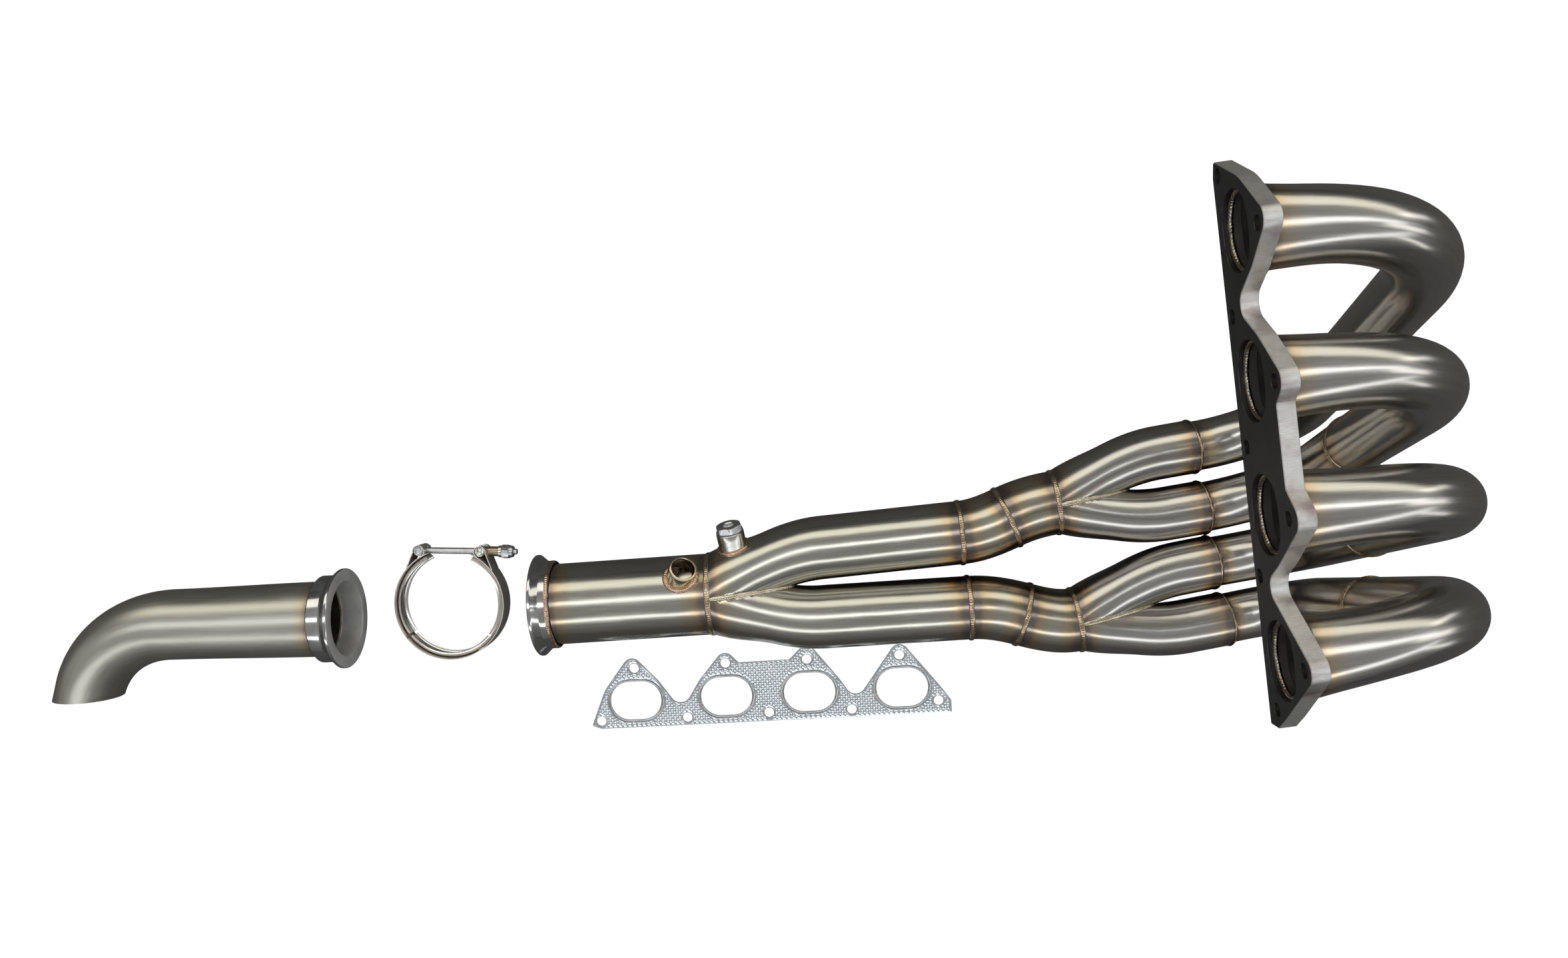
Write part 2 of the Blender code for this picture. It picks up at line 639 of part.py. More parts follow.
def make_clamp(polished, fastener):
    """V-band clamp: three retainers on a strap, closed by a T-bolt between two loops."""
    holder = empty("clamp_frame", CLAMP_ORIGIN, Matrix.Rotation(CLAMP_TURN, 4, "Z"))
    opening = math.pi / 2
    section_points = [(radius * MM, height * MM) for radius, height in RETAINER_SECTION]
    strap = [
        (BAND_R[0], -BAND_HALF), (BAND_R[1], -BAND_HALF),
        (BAND_R[1], BAND_HALF), (BAND_R[0], BAND_HALF),
    ]
    band_mid = (BAND_R[0] + BAND_R[1]) / 2
    bottom = (opening + HINGE_ANGLE + HINGE_GAP, opening + 2 * math.pi - HINGE_ANGLE - HINGE_GAP)
    add("clamp_retainer_bottom", arc_sweep(section_points, *bottom), polished, holder)
    add("clamp_band_bottom", arc_sweep(strap, *bottom), polished, holder)

    loops = {}
    for name, sign in (("left", 1), ("right", -1)):
        pivot = around(band_mid, opening + sign * HINGE_ANGLE)
        last = opening + sign * (HINGE_ANGLE - HINGE_GAP)
        retainer = arc_sweep(section_points, opening + sign * RETAINER_END, last)
        add(f"clamp_retainer_{name}", retainer, polished, holder, pivot)
        strap_mesh = arc_sweep(strap, opening + sign * STRAP_END, last)
        band = add(f"clamp_band_{name}", strap_mesh, polished, holder, pivot)
        loop = around(LOOP_CENTRE_R, opening + sign * LOOP_ANGLE)
        loops[name] = loop
        ring = [
            (-LOOP_HALF, LOOP_R[0]), (-LOOP_HALF, LOOP_R[1]),
            (LOOP_HALF, LOOP_R[1]), (LOOP_HALF, LOOP_R[0]),
        ]
        mesh = turned(ring, LOOP_SIDES, axis="Z")
        mesh.transform(Matrix.Translation(loop))
        boolean(band, "UNION", mesh, holder)
        leave = opening + sign * (LOOP_ANGLE + TAIL_LEAVES)
        outside = loop + around((LOOP_R[0] + LOOP_R[1]) / 2, leave)
        foot = around(band_mid, opening + sign * TAIL_LANDS)
        run = foot - outside
        tail = block(
            (run.length, BAND_R[1] - BAND_R[0], 2 * LOOP_HALF), (outside + foot) / 2,
            Matrix.Rotation(math.atan2(run.y, run.x), 4, "Z"),
        )
        boolean(band, "UNION", tail, holder)
        passing_r = BOLT_R if name == "left" else SLEEVE_R
        width = 2 * (passing_r + SLOT_CLEAR)
        middle = loop + Vector((SLOT_LENGTH / 2 if name == "left" else 0, 0, 0))
        boolean(band, "DIFFERENCE", block((SLOT_LENGTH, width, width), middle), holder)

    up = Vector((0, 0, BARREL_HALF))
    left, right = loops["left"], loops["right"]
    x = Vector((1, 0, 0))
    barrel = rod(left - up, left + up, BARREL_R, BARREL_SIDES)
    bolt = add("clamp_t_bolt", barrel, fastener, holder, left)
    boolean(bolt, "UNION", rod(left, right + x * BOLT_END, BOLT_R, BOLT_SIDES), holder)
    barrel = rod(right - up, right + up, BARREL_R, BARREL_SIDES)
    trunnion = add("clamp_trunnion", barrel, polished, holder, right)
    sleeve_end = right + x * SLEEVE_END
    boolean(trunnion, "UNION", rod(right, sleeve_end, SLEEVE_R, BOLT_SIDES), holder)
    bore = rod(right - x * 2 * BARREL_R, sleeve_end + x * MM, BOLT_BORE_R, BOLT_SIDES)
    boolean(trunnion, "DIFFERENCE", bore, holder)

    start = SLEEVE_END + JOINT_GAP
    profile = [
        (start, BOLT_BORE_R), (start, WASHER_R),
        (start + WASHER_THICK, WASHER_R), (start + WASHER_THICK, BOLT_BORE_R),
    ]
    washer = turned(profile, BARREL_SIDES)
    washer.transform(Matrix.Translation(right))
    add("clamp_washer", washer, fastener, holder, right)
    start += WASHER_THICK + JOINT_GAP
    flat_to_corner = 1 / math.cos(math.pi / 6)
    corner_r, bore_r = NUT_FLAT_R * flat_to_corner, BOLT_BORE_R * flat_to_corner
    end = start + NUT_LENGTH
    hexagon = turned([(start, bore_r), (start, corner_r), (end, corner_r), (end, bore_r)], 6)
    hexagon.transform(Matrix.Translation(right))
    add("clamp_nut", hexagon, fastener, holder, right)


def make_gasket(sheet, ring_finish):
    holder = empty("gasket_frame", GASKET_ORIGIN, Matrix.Rotation(GASKET_TURN, 4, "Z"))
    opening = tuple(half + JOINT_GAP for half in FIRE_RING_HALF)
    add("gasket_sheet", plate(pattern_loops(opening), *GASKET_Z), sheet, holder)
    for i, u in enumerate(PORT_U):
        loops = [stadium((u, PORT_V), half) for half in (FIRE_RING_HALF, PORT_HALF)]
        add(f"gasket_fire_ring_{i + 1}", plate(loops, 0.0, FIRE_RING_THICK), ring_finish, holder)


def main():
    for leftover in list(bpy.data.objects):
        bpy.data.objects.remove(leftover, do_unlink=True)
    tube = material("brushed_stainless_tube", (0.46, 0.43, 0.38), 1.0, 0.32)
    flange = material("blasted_flange_plate", (0.22, 0.22, 0.22), 1.0, 0.5)
    machined = material("machined_stainless", (0.62, 0.61, 0.60), 1.0, 0.18)
    polished = material("polished_stainless", (0.66, 0.64, 0.60), 1.0, 0.15)
    zinc = material("bright_zinc", (0.74, 0.75, 0.76), 1.0, 0.22)
    sheet = material("gasket_sheet", (0.52, 0.57, 0.60), 0.9, 0.4)
    ring = material("gasket_fire_ring", (0.70, 0.70, 0.70), 1.0, 0.2)
    make_head_flange(flange)
    make_runners(tube)
    make_first_merges(tube)
    make_secondaries(tube)
    make_collector(tube, machined, zinc)
    make_tip(tube, machined)
    make_clamp(polished, zinc)
    make_gasket(sheet, ring)


main()
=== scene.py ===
import math

import bmesh
import bpy
import numpy as np
from mathutils import Matrix, Vector, noise
from mathutils.bvhtree import BVHTree
from mathutils.geometry import delaunay_2d_cdt


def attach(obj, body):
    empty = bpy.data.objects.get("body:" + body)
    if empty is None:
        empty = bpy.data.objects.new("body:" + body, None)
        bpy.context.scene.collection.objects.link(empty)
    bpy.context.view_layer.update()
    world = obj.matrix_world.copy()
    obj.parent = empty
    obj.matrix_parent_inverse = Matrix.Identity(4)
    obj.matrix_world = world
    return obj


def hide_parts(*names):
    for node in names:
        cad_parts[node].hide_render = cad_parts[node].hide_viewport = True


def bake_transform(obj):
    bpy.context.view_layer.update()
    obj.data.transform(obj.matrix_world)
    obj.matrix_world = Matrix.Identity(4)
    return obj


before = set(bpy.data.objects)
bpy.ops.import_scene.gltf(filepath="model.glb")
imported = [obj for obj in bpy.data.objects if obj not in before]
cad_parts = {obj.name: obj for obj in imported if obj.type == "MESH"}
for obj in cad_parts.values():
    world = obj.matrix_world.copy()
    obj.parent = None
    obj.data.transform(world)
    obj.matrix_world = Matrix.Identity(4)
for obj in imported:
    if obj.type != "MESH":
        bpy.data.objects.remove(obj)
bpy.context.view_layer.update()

# The looks of a racing header kit: smooth tubes, weld beads, turned flanges, threads and
# brushed or heat-tinted metal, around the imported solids. Metres, +Z up.

MM = 0.001


def mm(*values):
    """A tuple of lengths in millimetres, turned to metres."""
    return tuple(value * MM for value in values)


GAP = 0.3 * MM
WALL = 1.6 * MM

# Driving dimensions, the same as the solids'
PRIMARY_R = 44.45 / 2 * MM
SLIP_LEG_R = 48.3 / 2 * MM
SECONDARY_R = 57.15 / 2 * MM
COLLECTOR_R = 73.0 / 2 * MM
AXIS_Y, AXIS_Z = mm(-76.0, 45.75)
COLLECTOR_FACE_X = -113.0 * MM
COLLECTOR_WELD_X = 44.6 * MM
COLLECTOR_HUB, TIP_HUB = mm(14.0, 21.0)
VBAND_BORE_R = 34.6 * MM
TIP_FACE_X = -293.0 * MM
TIP_CLOCK, TIP_YAW = math.radians(13.2), math.radians(-1.7)
TIP_RADII = mm(34.5, 32.6, 29.4)
TIP_STRAIGHT, TIP_BEND_R, TIP_TURN = 164.0 * MM, 104.0 * MM, math.radians(66)
TIP_CUT = 68.8 * MM
PORT_U = mm(-125.7, -39.3, 39.3, 126.2)
PORT_V = 25.6 * MM
PORT_HALF = mm(24.15, 18.25)
FIRE_RING_HALF = mm(26.1, 20.1)
STUDS = [
    mm(-125.6, 56.5), mm(-38.6, 57.1),
    mm(38.4, 56.8), mm(125.2, 56.4),
    mm(-160.2, 7.4), mm(-77.7, 7.2), mm(0.0, 8.0),
    mm(78.0, 7.2), mm(159.4, 11.6),
]
STUD_HOLE_R = 4.5 * MM
OUTLINE = [  # u, v, corner radius
    (-160.0, 0.0, 2.0), (-169.5, 3.2, 2.0), (-155.0, 37.0, 40.0), (-128.0, 70.8, 9.0),
    (-103.0, 43.3, 30.0), (-83.0, 13.7, 10.0), (-64.5, 41.8, 30.0), (-38.9, 71.0, 9.0),
    (-26.0, 56.9, 3.0), (22.0, 57.4, 3.0), (39.6, 73.9, 9.0), (68.0, 36.7, 30.0),
    (82.1, 14.5, 9.5), (125.3, 72.1, 9.0), (161.0, 26.0, 30.0), (171.2, 11.5, 3.0),
    (171.2, 0.0, 1.0),
]
FLANGE_THICK = 11.0 * MM
FLANGE_ORIGIN = mm(413.5, 37.7, 373.1)
FLANGE_TURNS = (math.radians(3.46), math.radians(3.11), math.radians(1.18))
GASKET_ORIGIN, GASKET_TURN = mm(84.5, -206.3, 0.0), math.radians(-0.66)
GASKET_Z = mm(0.4, 1.6)
FIRE_RING_THICK = 2.0 * MM
LOW_CORNER_Z, LEG_END_Z = mm(14.2, 24.6)
RUNNERS = [
    ((547.5, 162.7, 393.0), (565.0, 33.5), (480.9, 24.1)),
    ((550.3, 81.1, 391.6), (562.5, -23.0), (487.1, -30.8)),
    ((559.0, 3.2, 389.7), (572.0, -73.5), (492.7, -80.5)),
    ((561.5, -70.4, 388.1), (568.5, -124.0), (501.3, -132.5)),
]
TOP_BEND_R = 112.0 * MM
LOW_BEND_R = mm(66.0, 66.0, 66.0, 57.0)
RUNNER_WELD_Z = mm(150.0, 188.0, 184.0, 184.0)
PORT_TRANSITION = 30.0 * MM
PORT_MOUTH = mm(25.2, 19.4)
SECOND_MERGE_LENGTH, SECOND_MERGE_OFFSET = mm(104.0, 31.4)
SECOND_MERGE_YAW = math.radians(1.75)
FIRST_MERGE_LENGTH = 98.0 * MM
FIRST_MERGES = [
    (mm(357.3, -16.7, 30.6), math.radians(5.5)),
    (mm(369.9, -123.5, 30.0), math.radians(7.0)),
]
SECONDARY_ENDS = [
    (mm(271.2, -37.3, 34.6), mm(314.0, -26.8, 32.6)),
    (mm(274.9, -105.6, 34.5), mm(322.5, -115.1, 32.2)),
]
SECONDARY_YAWS = [(math.radians(2), math.radians(22)), (math.radians(0), math.radians(-19))]
BUNG_R, BUNG_BORE_R, BUNG_HEIGHT, BUNG_DEPTH = mm(12.4, 9.6, 14.0, 5.5)
SENSOR_BUNG = (mm(9.6, -76.0, 45.75), 38.6 * MM)
SENSOR_BUNG_TILT = (math.radians(36), math.radians(19))
SPARE_BUNG = (mm(71.6, -63.5, 44.6), 32.6 * MM)
SPARE_BUNG_TILT = (math.radians(72), math.radians(-6))
PLUG_HEAD = mm(12.0, 6.0)
CLAMP_ORIGIN, CLAMP_TURN = mm(-205.6, -73.0, 11.3), math.radians(-4.7)
HINGE_ANGLE, RETAINER_END = math.radians(128), math.radians(26)
HINGE_GAP, LOOP_ANGLE = math.radians(1.6), math.radians(30.5)
BAND_R, BAND_HALF = mm(51.3, 52.1), 11.0 * MM
LOOP_CENTRE_R, LOOP_R = 57.3 * MM, mm(4.95, 5.8)
BARREL_R, BARREL_HALF = mm(4.6, 9.5)
BOLT_R, BOLT_BORE_R, BOLT_END = mm(2.95, 3.35, 33.4)
SLEEVE_R, SLEEVE_END = mm(4.4, 15.6)
SLEEVE_SKIN = 0.3 * MM
WASHER_R, WASHER_THICK = mm(5.6, 3.0)
NUT_FLAT_R, NUT_LENGTH = mm(6.0, 11.0)

# Fineness of the visible surfaces
TUBE_SIDES, WIDE_TUBE_SIDES = 56, 72
STATION = 6 * MM
ARC_STEP = math.radians(4)
LATHE_SIDES, BAR_SIDES, SLEEVE_SIDES, HOLE_SIDES = 96, 48, 56, 40
X, Y, Z = Vector((1, 0, 0)), Vector((0, 1, 0)), Vector((0, 0, 1))


# ---------------------------------------------------------------- geometry helpers

def put(name, points, faces, body, finish, slot, replaces=(), place=None, sharp=38, **values):
    """Makes a piece from points and faces, riding a body unless body is None. finish is a
    name in MATERIALS. values are per-point attributes by name; "own" holds the points
    before they are placed."""
    mesh = bpy.data.meshes.new(name)
    values["own"] = [tuple(point) for point in points]
    if place is not None:
        points = [place @ Vector(point) for point in points]
    mesh.from_pydata([tuple(point) for point in points], [], faces)
    for key, data in values.items():
        data = np.asarray(data, np.float32)
        kind = "FLOAT" if data.ndim == 1 else "FLOAT_VECTOR"
        layer = mesh.attributes.new(key, kind, "POINT")
        layer.data.foreach_set("value" if data.ndim == 1 else "vector", data.ravel())
    work = bmesh.new()
    work.from_mesh(mesh)
    bmesh.ops.recalc_face_normals(work, faces=work.faces)
    work.to_mesh(mesh)
    work.free()
    mesh.shade_smooth()
    mesh.set_sharp_from_angle(angle=math.radians(sharp))
    mesh.materials.append(MATERIALS[finish])
    piece = bpy.data.objects.new(name, mesh)
    bpy.context.collection.objects.link(piece)
    if body:
        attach(piece, body)
    if replaces:
        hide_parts(*replaces)
    return piece


def grid_faces(rows, columns, rows_closed):
    """Quads between rings of points; every ring is closed."""
    faces = []
    for i in range(rows if rows_closed else rows - 1):
        a, b = i * columns, (i + 1) % rows * columns
        for j in range(columns):
            k = (j + 1) % columns
            faces.append((a + j, a + k, b + k, b + j))
    return faces


def capped_faces(rows, columns):
    last = (rows - 1) * columns
    ends = [tuple(reversed(range(columns))), tuple(range(last, last + columns))]
    return grid_faces(rows, columns, False) + ends


def level(yaw):
    return Vector((math.cos(yaw), math.sin(yaw), 0))


def round_corners(corners, step, closed=False):
    """Points of a line whose corners (point, radius) are rounded."""
    points = []
    count = len(corners)
    for i, (corner, radius) in enumerate(corners):
        if not closed and i in (0, count - 1):
            points.append(corner)
            continue
        back = (corners[i - 1][0] - corner).normalized()
        ahead = (corners[(i + 1) % count][0] - corner).normalized()
        turn = math.pi - back.angle(ahead)
        centre = corner + (back + ahead).normalized() * radius / math.cos(turn / 2)
        start = corner + back * radius * math.tan(turn / 2) - centre
        steps = max(1, math.ceil(turn / step))
        for j in range(steps + 1):
            angle = turn * j / steps
            points.append(centre + start * math.cos(angle) - back * radius * math.sin(angle))
    return points


def filled_in(points, spacing):
    """The same line with points added so that none are further apart than the spacing."""
    fine = [points[0]]
    for a, b in zip(points, points[1:]):
        parts = max(1, math.ceil((b - a).length / spacing))
        fine += [a.lerp(b, i / parts) for i in range(1, parts + 1)]
    return fine


def tangents_of(points):
    runs = [(b - a).normalized() for a, b in zip(points, points[1:])]
    inner = [(a + b).normalized() for a, b in zip(runs, runs[1:])]
    return [runs[0], *inner, runs[-1]]


def flattened(rings):
    return [point for ring in rings for point in ring]


def square_to(axis):
    """Two directions square to an axis and to each other."""
    side = axis.orthogonal().normalized()
    return side, axis.cross(side)


def smooth_step(part):
    return part * part * (3 - 2 * part)


def section(centre, side, up, half_side, half_up, sides):
    turns = [2 * math.pi * i / sides for i in range(sides)]
    return [centre + side * half_side * math.cos(a) + up * half_up * math.sin(a) for a in turns]


def tube_rings(points, radii, up, directions=None, sides=TUBE_SIDES):
    """Outer and inner rings of a pipe. radii is its radius, or a (side, up) half size for
    each point."""
    if isinstance(radii, float):
        radii = [(radii, radii)] * len(points)
    directions = directions or tangents_of(points)
    outer, inner = [], []
    up = (up - directions[0] * up.dot(directions[0])).normalized()
    for i, (point, direction) in enumerate(zip(points, directions)):
        if i:
            up = directions[i - 1].rotation_difference(direction) @ up
        side = up.cross(direction).normalized()
        half_side, half_up = radii[i]
        outer.append(section(point, side, up, half_side, half_up, sides))
        inner.append(section(point, side, up, half_side - WALL, half_up - WALL, sides))
    return outer, inner


def trimmed(points, start_gap=GAP / 2):
    """The line, cut short at both ends for the gaps between welded solids."""
    points = list(points)
    points[0] = points[0] + (points[1] - points[0]).normalized() * start_gap
    points[-1] = points[-1] + (points[-2] - points[-1]).normalized() * GAP / 2
    return points


UNROLLED_R = 30 * MM, 24 * MM  # of the cylinders that the outside and the bore unroll to


def tube(name, outer, inner, finish, body="header", place=None, far_end_welded=True):
    """A hollow tube piece. lay unrolls it as a straight cylinder for the brushing, weld is
    each point's distance from the nearer welded end, and inner marks the bore."""
    rows, sides = len(outer), len(outer[0])
    middles = [sum(ring, Vector()) / sides for ring in outer]
    along = [0.0]
    for a, b in zip(middles, middles[1:]):
        along.append(along[-1] + (b - a).length)
    lay, weld = [], []
    for stations, radius in ((along, UNROLLED_R[0]), (along[::-1], UNROLLED_R[1])):
        for station in stations:
            near = min(station, along[-1] - station) if far_end_welded else station
            weld += [near] * sides
            for j in range(sides):
                angle = 2 * math.pi * j / sides
                lay.append((radius * math.cos(angle), radius * math.sin(angle), station))
    put(
        name, flattened(outer + inner[::-1]), grid_faces(2 * rows, sides, True), body, finish,
        "tube_stainless", (name.replace("look_", ""),), place, lay=lay, weld=weld,
        inner=[0.0] * (rows * sides) + [1.0] * (rows * sides),
    )


def lathe(name, profile, foot, axis, body, finish, slot, replaces=(), sides=LATHE_SIDES,
          closed=True, place=None):
    """A turned piece about an axis from foot, from (along, radius) points of its section."""
    side, up = square_to(axis)
    points, lay = [], []
    for along, radius in profile:
        points += section(foot + axis * along, side, up, radius, radius, sides)
        lay += [(along, radius, 0.0)] * sides
    rows = len(profile)
    faces = grid_faces(rows, sides, True) if closed else capped_faces(rows, sides)
    put(
        name, points, faces, body, finish, slot, replaces, place, sharp=30,
        lay=lay, weld=[1.0] * len(points),
    )


def eased(profile, radius):
    """A closed section's corners rounded off by a small radius, as (along, radius) points."""
    corners = [Vector(point) for point in profile]
    limited = []
    for i, corner in enumerate(corners):
        back = (corners[i - 1] - corner).length
        ahead = (corners[(i + 1) % len(corners)] - corner).length
        limited.append((corner, min(radius, 0.4 * back, 0.4 * ahead)))
    return [(p.x, p.y) for p in round_corners(limited, math.radians(30), closed=True)]


def stadium(centre, half, steps=20):
    """A loop with straight sides and round ends, of the given half length and width."""
    reach = half[0] - half[1]
    points = []
    for sign in (1, -1):
        for i in range(steps + 1):
            angle = math.pi * i / steps - math.pi / 2
            x = centre[0] + sign * (reach + half[1] * math.cos(angle))
            points.append(Vector((x, centre[1] + sign * half[1] * math.sin(angle))))
    return points


def circle(centre, radius):
    turns = [2 * math.pi * i / HOLE_SIDES for i in range(HOLE_SIDES)]
    x, y = centre
    return [Vector((x + radius * math.cos(t), y + radius * math.sin(t))) for t in turns]


def side_and_distance(points, loop):
    """For an array of points: whether each is inside the loop, and how far it is from it."""
    crossings = np.zeros(len(points), bool)
    best = np.full(len(points), 1.0)
    x, y = points.T
    for a, b in zip(loop, loop[1:] + loop[:1]):
        if a.y != b.y:
            reach = (b.x - a.x) * (y - a.y) / (b.y - a.y) + a.x
            crossings ^= ((a.y > y) != (b.y > y)) & (x < reach)
        run = np.array((b.x - a.x, b.y - a.y))
        away = points - np.array((a.x, a.y))
        t = np.clip(away @ run / max(1e-12, run @ run), 0, 1)
        best = np.minimum(best, np.linalg.norm(away - t[:, None] * run, axis=1))
    return crossings, best


def loop_edges(loops):
    """The edges of loops whose points are numbered one loop after the other."""
    edges, first = [], 0
    for loop in loops:
        count = len(loop)
        edges += [(first + i, first + (i + 1) % count) for i in range(count)]
        first += count
    return edges


def sheet_triangles(points, edges, loops):
    """Flat points, and the triangles over them in the first loop and in none of the others."""
    made, _, triangles, _, _, _ = delaunay_2d_cdt(points, edges, [], 1, 1e-7)
    if len(made) != len(points):
        raise ValueError("a flat sheet needs its own points only")
    flat = np.array([(p.x, p.y) for p in made])
    middles = flat[np.array(triangles)].mean(axis=1)
    kept, _ = side_and_distance(middles, loops[0])
    for loop in loops[1:]:
        kept &= ~side_and_distance(middles, loop)[0]
    return flat, [tuple(triangle) for triangle, wanted in zip(triangles, kept) if wanted]


# ---------------------------------------------------------------- weld beads

BEAD_SHAPE = 9  # points across a bead
BEAD_SPACING = 0.32 * MM  # between sections of a bead
RIPPLE, WANDER = 0.13, 0.14  # of the bead's height or width
BEADS = {  # width, height, length of a ripple
    "joint": mm(4.6, 1.1, 1.9),
    "slip": mm(4.6, 1.0, 1.9),
    "port_outer": mm(5.4, 1.7, 2.1),
    "port_inner": mm(3.6, 1.3, 2.1),
    "seam": mm(4.8, 1.2, 2.1),
    "first_merge": mm(5.0, 1.1, 1.9),
    "collector": mm(5.2, 1.1, 1.9),
    "collar": mm(5.0, 1.9, 1.9),
    "bung": mm(4.4, 1.5, 1.8),
    "tip": mm(5.4, 1.9, 1.9),
}


def weld_bead(name, path, normals, bead, finish, seed, closed=True, body="header", place=None):
    """A rippled bead along a path, standing on a surface with the given normals.

    Each ripple is the back edge of one puddle, so it curves back towards the bead's sides."""
    width, height, pitch = BEADS[bead]
    count = len(path)
    points, lay = [], []
    along = 0.0
    for i in range(count):
        before, after = path[i - 1], path[(i + 1) % count]
        if not closed and i in (0, count - 1):
            before, after = (path[0], path[1]) if i == 0 else (path[-2], path[-1])
        ahead = (after - before).normalized()
        normal = (normals[i] - ahead * normals[i].dot(ahead)).normalized()
        across = ahead.cross(normal)
        if i:
            along += (path[i] - path[i - 1]).length
        wander = noise.noise(Vector((along * 160, seed, 0)))
        fade = 1.0
        if not closed:
            fade = min(1.0, 0.35 + min(i, count - 1 - i) / (count * 0.06))
        for j in range(BEAD_SHAPE):
            t = 2 * j / (BEAD_SHAPE - 1) - 1
            phase = along / pitch + 0.9 * t * t + 0.35 * wander
            ripple = 1 - abs(2 * (phase % 1.0) - 1) ** 1.5
            dome = math.sqrt(max(0.0, 1 - t * t))
            rise = height * fade * dome * (1 - WANDER + RIPPLE * ripple + WANDER * wander)
            half = width / 2 * (1 + WANDER * wander) * fade
            points.append(path[i] + across * t * half + normal * rise)
            lay.append((along, t * half, seed))
        points.append(path[i] - normal * height * 0.5)
        lay.append((along, 0.0, seed))
    columns = BEAD_SHAPE + 1
    faces = grid_faces(count, columns, True) if closed else capped_faces(count, columns)
    put(
        name, points, faces, body, finish, "tube_stainless", (), place, sharp=80,
        lay=lay, weld=[0.0] * len(points),
    )


def ring_weld(name, centre, direction, radius, seed, bead="joint", finish="weld", up=Z,
              lean=0.0, **more):
    """A bead round a tube where two lengths meet, leaning forwards by lean."""
    side = up.cross(direction).normalized()
    high = direction.cross(side)
    samples = int(2 * math.pi * radius / BEAD_SPACING)
    loop = section(centre, side, high, radius, radius, samples)
    normals = [((point - centre).normalized() + direction * lean).normalized() for point in loop]
    weld_bead(name, loop, normals, bead, finish, seed, **more)


# ---------------------------------------------------------------- materials

class Nodes:
    """A metal's node tree, wired a node at a time."""

    def __init__(self, name):
        self.material = bpy.data.materials.new(name)
        self.material.use_nodes = True
        self.tree = self.material.node_tree
        self.shader = self.tree.nodes["Principled BSDF"]
        self.shader.inputs["Metallic"].default_value = 1.0

    def node(self, kind, **settings):
        made = self.tree.nodes.new(kind)
        for key, value in settings.items():
            setattr(made, key, value)
        return made

    def link(self, source, target):
        self.tree.links.new(source, target)

    def feed(self, pairs):
        """Gives each socket its value: a colour, a number or another node's output."""
        for socket, value in pairs:
            if isinstance(value, tuple):
                socket.default_value = (*value, 1.0)
            elif isinstance(value, (int, float)):
                socket.default_value = value
            else:
                self.link(value, socket)

    def attribute(self, name, vector=False):
        made = self.node("ShaderNodeAttribute", attribute_name=name)
        return made.outputs["Vector" if vector else "Fac"]

    def local(self):
        return self.attribute("own", vector=True)

    def scaled(self, vector, scale):
        made = self.node("ShaderNodeMapping")
        made.inputs["Scale"].default_value = scale
        self.link(vector, made.inputs["Vector"])
        return made.outputs["Vector"]

    def noise(self, vector, scale, detail, roughness=0.55):
        made = self.node("ShaderNodeTexNoise")
        made.inputs["Scale"].default_value = scale
        made.inputs["Detail"].default_value = detail
        made.inputs["Roughness"].default_value = roughness
        self.link(vector, made.inputs["Vector"])
        return made.outputs["Fac"]

    def maths(self, operation, a, b, clamp=False):
        made = self.node("ShaderNodeMath", operation=operation, use_clamp=clamp)
        self.feed(zip(made.inputs, (a, b)))
        return made.outputs["Value"]

    def parts(self, vector):
        made = self.node("ShaderNodeSeparateXYZ")
        self.link(vector, made.inputs[0])
        return made.outputs

    def sum_of(self, a, part_a, b, part_b):
        return self.maths("ADD", self.maths("MULTIPLY", a, part_a), self.maths("MULTIPLY", b, part_b))

    def ramp(self, value, *stops):
        """stops are (place, colour or grey)."""
        made = self.node("ShaderNodeValToRGB")
        ramp = made.color_ramp
        while len(ramp.elements) < len(stops):
            ramp.elements.new(0.5)
        for element, (place, colour) in zip(ramp.elements, stops):
            element.position = place
            if isinstance(colour, (int, float)):
                colour = (colour,) * 3
            element.color = (*colour, 1.0)
        self.link(value, made.inputs["Fac"])
        return made.outputs["Color"]

    def mix(self, factor, a, b, blend="MIX"):
        made = self.node("ShaderNodeMix", data_type="RGBA", blend_type=blend)
        self.feed(((made.inputs[0], factor), (made.inputs[6], a), (made.inputs[7], b)))
        return made.outputs[2]

    def bump(self, height, distance, strength, before=None):
        made = self.node("ShaderNodeBump")
        made.inputs["Strength"].default_value = strength
        made.inputs["Distance"].default_value = distance
        self.link(height, made.inputs["Height"])
        if before is not None:
            self.link(before, made.inputs["Normal"])
        return made.outputs["Normal"]

    def finish(self, colour, roughness, normal):
        self.link(colour, self.shader.inputs["Base Color"])
        self.link(roughness, self.shader.inputs["Roughness"])
        self.link(normal, self.shader.inputs["Normal"])
        return self.material


def times(colour, factor):
    return tuple(factor * c for c in colour)


STEEL = (0.62, 0.603, 0.54)
STRAW = (0.66, 0.47, 0.22)
GOLD = (0.60, 0.36, 0.12)
BROWN = (0.25, 0.165, 0.12)
PLUM = (0.24, 0.19, 0.19)
BLOTCH = (0.58, 0.53, 0.43)
TINT_REACH, TINT_WOBBLE = 40 * MM, 12 * MM  # of the heat tint beside a weld


